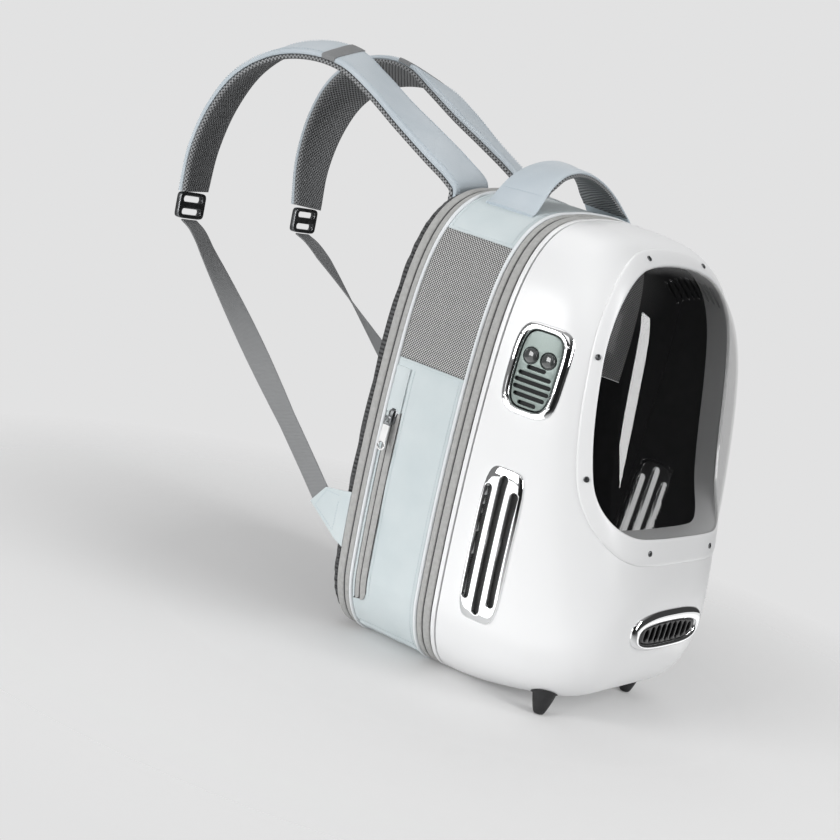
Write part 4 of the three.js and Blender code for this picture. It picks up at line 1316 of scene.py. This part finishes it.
def make_webbing():
    """Webbing that lies flat at the buckle and turns on edge on its way to the sewn tab."""
    steps = 110
    edges = []
    for side in (1, -1):
        edge = []
        for k, p in enumerate(spline(WEB_PATH, steps)):
            turn = clamp((k / steps - WEB_TURN[0]) / (WEB_TURN[1] - WEB_TURN[0])) * math.pi / 2
            flat, upright = side * WEB_HALF * math.cos(turn), side * WEB_HALF * math.sin(turn)
            edge.append(p + (flat, 0, 0) + upright * np.array(WEB_UPRIGHT))
        edges.append(np.array(edge))
    web = sweep("webbing_run_left", ribbon_rings(*edges, [
        (0, 0), (0.015, 0.6), (0.06, 0.8), (0.35, 0.75), (0.65, 0.75), (0.94, 0.8), (0.985, 0.6), (1, 0),
        (0.985, -0.6), (0.94, -0.8), (0.65, -0.75), (0.35, -0.75), (0.06, -0.8), (0.015, -0.6)]))

    high_z, low_z = TAB_UPPER[0][1], TAB_LOWER[0][1]
    slope = (half_width(high_z) - half_width(low_z)) / (high_z - low_z)

    def tab_edge(corners):
        points = []
        for t in np.linspace(0, 1, 25):
            y, z = (np.interp(t, (0, 0.2, 1), [corner[k] for corner in corners]) for k in (0, 1))
            x = 1.8 - half_width(low_z) - slope * (z - low_z) + TAB_LEAN * max(0, y - TAB_FOLD)
            points.append((x, y, z))
        return np.array(points)

    upper, lower = tab_edge(TAB_UPPER), tab_edge(TAB_LOWER)
    tab = sweep("webbing_tab_cloth_left", ribbon_rings(upper, lower, pad_profile(-1, 0.8, 0.25, 0.03)))
    spots = [(0.28, 0.12), (0.86, 0.12), (0.86, 0.88), (0.28, 0.88), (0.28, 0.12)]
    rows = ribbon_rings(upper, lower, [(c, 1.15) for c in np.linspace(0, 1, 26)])
    along, across = len(rows) - 1, len(rows[0]) - 1
    path = []
    for (s0, c0), (s1, c1) in zip(spots, spots[1:]):
        for t in np.linspace(0, 1, 12, endpoint=False):
            path.append(rows[round((s0 + t * (s1 - s0)) * along)][round((c0 + t * (c1 - c0)) * across)])
    path = [q for k, q in enumerate(path) if k == 0 or q != path[k - 1]]
    dress_pair(sew("tab_stitches_left", path, *TAB_STITCH), STRAP_THREAD, "cloth")
    dress_pair(web, WEBBING, "webbing", "webbing")
    dress_pair(tab, CLOTH, "cloth", "webbing_tab")

    top, bottom = (Vector(point) for point in ADJUSTER)
    long = (bottom - top).length

    def place(u, v, h):
        p = top + (v / long) * (bottom - top)
        return p + Vector((u, 0, 0)) + h * Vector((0, -1, 0.1)).normalized()

    rounded = superellipse(0, long / 2, ADJUSTER_HALF, long / 2, 7, 48)
    holes = [slot_outline(0, long * share, 14.5, 3.0, False) for share in (0.26, 0.74)]
    buckle = flat_plate("ladder_buckle_left", rounded, holes, 1, 7, 1.2,
                        steps_between(-ADJUSTER_HALF, ADJUSTER_HALF, 3), steps_between(0, long, 3), place)
    dress_pair(buckle, METAL, "metal", "adjuster")


def on_left(z, lift):
    """Place (x, z) on the body's left side at a height."""
    return body.at(1 - body.share_at(z), lift)


def left_strip(name, z0, z1, y_range, offsets, steps=110):
    """Flat strip on the left side. y_range(height over its lower end z0) gives its edges."""
    low, high = offsets
    rings = []
    for k in range(steps + 1):
        z = z1 + (z0 - z1) * k / steps
        y0, y1 = y_range(z - z0)
        soft = min(0.35, (y1 - y0) / 6)
        ring = []
        for offset, y in ((low, y0), (high - 0.25, y0), (high, y0 + soft), (high + 0.1, (y0 + y1) / 2),
                          (high, y1 - soft), (high - 0.25, y1), (low, y1)):
            x, height = on_left(z, offset)
            ring.append((x, y, height))
        rings.append(ring)
    return sweep(name, rings)


def rounded_end(y0, y1, reach):
    """Edges of a strip whose lower end turns in towards its back edge y1."""
    def edges(up):
        t = clamp(up / reach)
        return y1 - 0.6 - (y1 - y0 - 0.6) * math.sqrt(1 - (1 - t) ** 2), y1

    return edges


def make_pocket():
    low, high, top = POCKET_Z[0], POCKET_SLIDER_Z + 4, POCKET_Z[1] + 5
    # Painted shade: a dark strip under the pocket's tapes and welt, seen as dark lines in the gaps between
    # them.
    base = left_strip("pocket_zip_shade_strip", low - 1.2, high, rounded_end(20.5, 36.4, 12), (0.1, 0.5))
    dress(base, COIL_AND_SHADE, slot="coil")
    strips = [("pocket_zip_tape", 21.2, 27.4, 10, TAPE, "tape", "pocket_tape"),
              ("pocket_zip_tape_back", 28.5, 33.0, 5, TAPE, "tape", ()),
              ("pocket_welt", 33.7, 35.7, 3, CLOTH, "cloth", ())]
    for name, y0, y1, reach, material, slot, nodes in strips:
        strip = left_strip(name, low, high, rounded_end(y0, y1, reach), (0.3, 1.25))
        dress(strip, material, stands_for=nodes, slot=slot)
    cover = left_strip("pocket_zip_cover", high - 1, top, lambda up: (21.5, 36.3), (0.1, 1.9))
    dress(cover, CLOTH, slot="cloth")
    seam = [on_left(z, 0.35) for z in np.linspace(top, low + 6, 90)]
    stitches = sew("pocket_stitches", [(x, POCKET_SEAM_Y, z) for x, z in seam], *POCKET_STITCH)
    dress(stitches, PALE_THREAD, slot="cloth")

    slider = slider_body("pocket_zip_slider")
    x, z = on_left(POCKET_SLIDER_Z, 1.5)
    slider.data.transform(stand_on((x, POCKET_ZIP_Y, z), (-1, 0, 0.04)))
    dress(slider, METAL, stands_for="pocket_slider", slot="metal")
    make_puller()


def make_puller():
    """Tongue that hangs on the pocket's slider, with a metal loop above and a ringed hole below."""
    px, pz = PULLER_PIVOT
    drop, radius, hole = (PULLER_RING[key] for key in ("drop", "radius", "hole"))
    end = []
    for k in range(33):
        t = math.pi * 0.21 - k / 32 * math.pi * 1.42
        end.append((radius * math.cos(t), -drop + radius * math.sin(t)))
    tongue = [(-3.6, 1.2), (-2.4, 2.4), (2.4, 2.4), (3.6, 1.2), *end]
    holes = [superellipse(0, -drop, hole, hole, 2, 24), superellipse(0, -1.4, 2.0, 1.7, 3, 16)]
    puller = flat_plate("pocket_puller_tongue", tongue, holes, -0.9, 0.9, 0.4, [], [-PULLER_LOOP, -12, -18],
                        lambda u, v, h: (px - h, POCKET_ZIP_Y - u, pz + v))
    dress(puller, SATIN, METAL, body="pocket_puller", stands_for="pocket_puller", slot="metal")
    paint_faces(puller, lambda x, y, z: z > pz - PULLER_LOOP)
    rings = []
    for r in np.linspace(0, 2 * math.pi, 32, endpoint=False):
        ring = []
        for s in np.linspace(0, 2 * math.pi, 10, endpoint=False):
            reach = 3.4 + 0.8 * math.cos(s)
            ring.append((px - 1.1 * math.sin(s), POCKET_ZIP_Y + reach * math.cos(r),
                         pz - drop + reach * math.sin(r)))
        rings.append(ring)
    eyelet = sweep("pocket_puller_eyelet", rings, closed=True)
    dress(eyelet, CHROME, body="pocket_puller", slot="chrome")


def slider_body(name):
    """Zip slider along Y of its own frame, standing on +Z: a waisted plate with an arched bridge."""
    deselect()
    bpy.ops.mesh.primitive_cube_add(size=1)
    plate = bpy.context.active_object
    plate.name = plate.data.name = name
    size = (SLIDER[key] * MM for key in ("width", "length", "height"))
    plate.data.transform(Matrix.Diagonal((*size, 1)))
    for point in plate.data.vertices:
        if point.co.y < 0:
            point.co.x *= SLIDER["waist"]
    modify(plate, "BEVEL", width=0.7 * MM, segments=3, limit_method="ANGLE")
    half, low, rise = (SLIDER_BRIDGE[key] for key in ("half", "low", "rise"))
    arch = []
    for k in range(15):
        t = math.pi * k / 14
        centre = Vector((0, -half * math.cos(t), low + rise * math.sin(t) ** 0.7))
        out = Vector((0, -math.cos(t), math.sin(t)))
        arch.append([tuple(centre + u * Vector((1, 0, 0)) + v * out)
                     for u, v in ((-1.6, -0.5), (1.6, -0.5), (1.6, 0.5), (-1.6, 0.5))])
    bridge = sweep(name + "_bridge", arch)
    modify(bridge, "BEVEL", width=0.2 * MM, segments=2, limit_method="ANGLE")
    join([plate, bridge])
    smooth(plate, 40)
    return plate


def make_zip_sliders():
    """Sliders of the two long zips, parked on the right side."""
    x, z = body.at(body.share_at(SLIDER_PARK_Z), 1.1)
    for node, y in ZIP_SLIDERS.items():
        slider = slider_body(node + "_body")
        slider.data.transform(stand_on((x, y, z), (1, 0, 0)))
        dress(slider, METAL, stands_for=node, slot="metal")


def gusset_row(y, share0, share1, count=160):
    """Path on the gusset along the outline."""
    rows = []
    for share in np.linspace(share0, share1, count):
        x, z = body.at(share, 0.25 + hem(share))
        rows.append((x, y, max(z, 0.3)))
    return rows


def cross_row(share):
    """Path across the gusset at one place of the outline."""
    x, z = body.at(share, 0.2)
    return [(x, y, z) for y in np.linspace(GUSSET_Y[0] + 2, GUSSET_Y[1] - 2, 40)]


def make_stitches():
    low, high = body.share_at(MESH_Z[0] - 2.6), body.share_at(MESH_Z[1] + 2.6)
    hem_up = body.share_at(HEM_SEAM_Z)
    front, back = SEAM_Y
    rows = {
        "gusset_stitches_front": gusset_row(front, -low, low, count=260),
        "gusset_stitches_back_right": gusset_row(back, 0.0, low),
        "gusset_top_stitches_front": gusset_row(front, high, 1 - high),
        "gusset_top_stitches_back": gusset_row(back, high, 1 - high),
        "mesh_stitches_low_left": cross_row(1 - low), "mesh_stitches_low_right": cross_row(low),
        "mesh_stitches_high_left": cross_row(1 - high), "mesh_stitches_high_right": cross_row(high),
        "hem_stitches_left": cross_row(1 - hem_up), "hem_stitches_right": cross_row(hem_up),
    }
    for name, path in rows.items():
        dress(sew(name, path, *GUSSET_STITCH), PALE_THREAD, slot="cloth")


add_camera()
make_shell()
make_window_frame()
make_window_flange()
make_window()
make_screws()
make_controls()
make_side_vents()
make_front_vent()
make_feet()
make_trims()
make_rim_linings()
make_gusset()
make_back_panel()
make_handle()
make_straps()
make_webbing()
make_pocket()
make_zip_sliders()
make_stitches()


# Studio: pale floor that fades into a pale backdrop, soft lights.
def make_floor():
    deselect()
    bpy.ops.mesh.primitive_circle_add(vertices=64, radius=3.0, fill_type="NGON", location=(0, 0, -0.0004))
    floor = bpy.context.active_object
    floor.name = "floor"
    f = Finish("floor_paper", (0.7, 0.7, 0.7), 0.9)
    away = f.nodes.new("ShaderNodeVectorMath")
    away.operation = "LENGTH"
    f.links.new(f.where.outputs["Object"], away.inputs[0])
    f.plug(f.span(away.outputs["Value"], 0.3, 0.7, 1, 0), "Alpha")
    f.set("Emission Color", (1, 1, 1, 1)).set("Emission Strength", 0.08)
    floor.data.materials.append(f.material)


BACKDROP = 0.76


def make_world():
    """Pale backdrop behind the pack in a dim room, by compass direction."""
    world = bpy.data.worlds.new("studio")
    bpy.context.scene.world = world
    world.use_nodes = True
    w = Nodes(world.node_tree)
    compass = w.math("ARCTAN2", w.axis("Y", "Generated"), w.axis("X", "Generated"))
    ramp = w.nodes.new("ShaderNodeValToRGB")
    tones = [(-180, 0.2), (-150, 0.05), (-2, 0.05), (10, BACKDROP), (54, BACKDROP), (68, 0.16),
             (150, 0.22), (180, 0.2)]
    stops = ramp.color_ramp.elements
    stops.remove(stops[1])
    for k, (angle, tone) in enumerate(tones):
        place = (angle + 180) / 360
        stop = stops[0] if k == 0 else stops.new(place)
        stop.position = place
        stop.color = (tone, tone, tone * 1.005, 1)
    w.links.new(w.span(compass, -math.pi, math.pi, 0, 1), ramp.inputs["Fac"])
    total = w.nodes.new("ShaderNodeVectorMath")
    w.links.new(ramp.outputs["Color"], total.inputs[0])
    w.links.new(w.span(w.axis("Z", "Generated"), 0.55, 0.9, 0.0, 0.3), total.inputs[1])
    seen = w.nodes.new("ShaderNodeLightPath")
    shown = w.nodes.new("ShaderNodeMix")
    shown.data_type = "RGBA"
    w.links.new(seen.outputs["Is Camera Ray"], shown.inputs["Factor"])
    w.links.new(total.outputs[0], shown.inputs[6])
    shown.inputs[7].default_value = (BACKDROP, BACKDROP, BACKDROP * 1.003, 1)
    w.links.new(shown.outputs[2], w.nodes["Background"].inputs["Color"])


def add_flag():
    """Black card at the left front, seen only in reflections."""
    deselect()
    bpy.ops.mesh.primitive_grid_add(x_subdivisions=1, y_subdivisions=1, size=2)
    flag = bpy.context.active_object
    flag.name = "flag"
    corners = [(-1.0, -0.35, -0.05), (-0.3, -0.95, -0.05), (-1.0, -0.35, 0.55), (-0.3, -0.95, 0.55)]
    for point, co in zip(flag.data.vertices, corners):
        point.co = co
    f = Finish("flag_cloth", (0.01, 0.01, 0.01), 0.9)
    f.plug(f.tint(f.noise(60, 3), (0.006, 0.006, 0.006), (0.014, 0.014, 0.014)), "Base Color")
    flag.data.materials.append(f.material)
    flag.visible_camera = flag.visible_diffuse = flag.visible_shadow = flag.visible_transmission = False


def area_light(name, size, power):
    data = bpy.data.lights.new(name, "AREA")
    data.shape = "RECTANGLE"
    data.size, data.size_y = size
    data.energy = power
    light = bpy.data.objects.new(name, data)
    bpy.context.scene.collection.objects.link(light)
    return light


def add_softbox(name, at, aim, size, power):
    light = area_light(name, size, power)
    light.location = at
    light.rotation_mode = "QUATERNION"
    light.rotation_quaternion = (Vector(aim) - Vector(at)).to_track_quat("-Z", "Y")
    return light


def add_strip(name, low, high, width, aim, power):
    """Long narrow softbox between two points, facing a point."""
    low, high = Vector(low), Vector(high)
    along = (high - low).normalized()
    away = (low + high) / 2 - Vector(aim)
    away = (away - away.dot(along) * along).normalized()
    light = area_light(name, (width, (high - low).length), power)
    turn = Matrix((along.cross(away), along, away)).transposed().to_4x4()
    light.matrix_world = Matrix.Translation((low + high) / 2) @ turn


def add_card(name, x, y, size, power):
    """Light that lies on the floor and is seen only in reflections."""
    card = add_softbox(name, (x, y, 0.004), (x, y, 1), size, power)
    card.visible_camera = card.visible_diffuse = card.visible_transmission = False


make_floor()
make_world()
add_flag()
add_strip("strip_softbox", (-0.27, -2.19, 0.35), (0.57, -1.54, 1.66), 0.36, (0, -0.15, 0.3), 23)
add_softbox("side_softbox", (-2.4, 0.5, 0.75), (0, 0, 0.25), (1.4, 1.4), 46)
add_softbox("fill_softbox", (-1.9, -1.4, 2.1), (0, -0.1, 0.2), (1.6, 1.6), 8)
add_softbox("top_softbox", (0.3, 0.9, 2.3), (0, 0, 0.2), (1.5, 1.5), 5)
add_card("side_card", -1.1, 0.12, (1.8, 0.8), 5)
add_card("front_card", 0.55, -0.5, (0.7, 0.5), 0.9)
bpy.context.scene.view_settings.view_transform = "Standard"
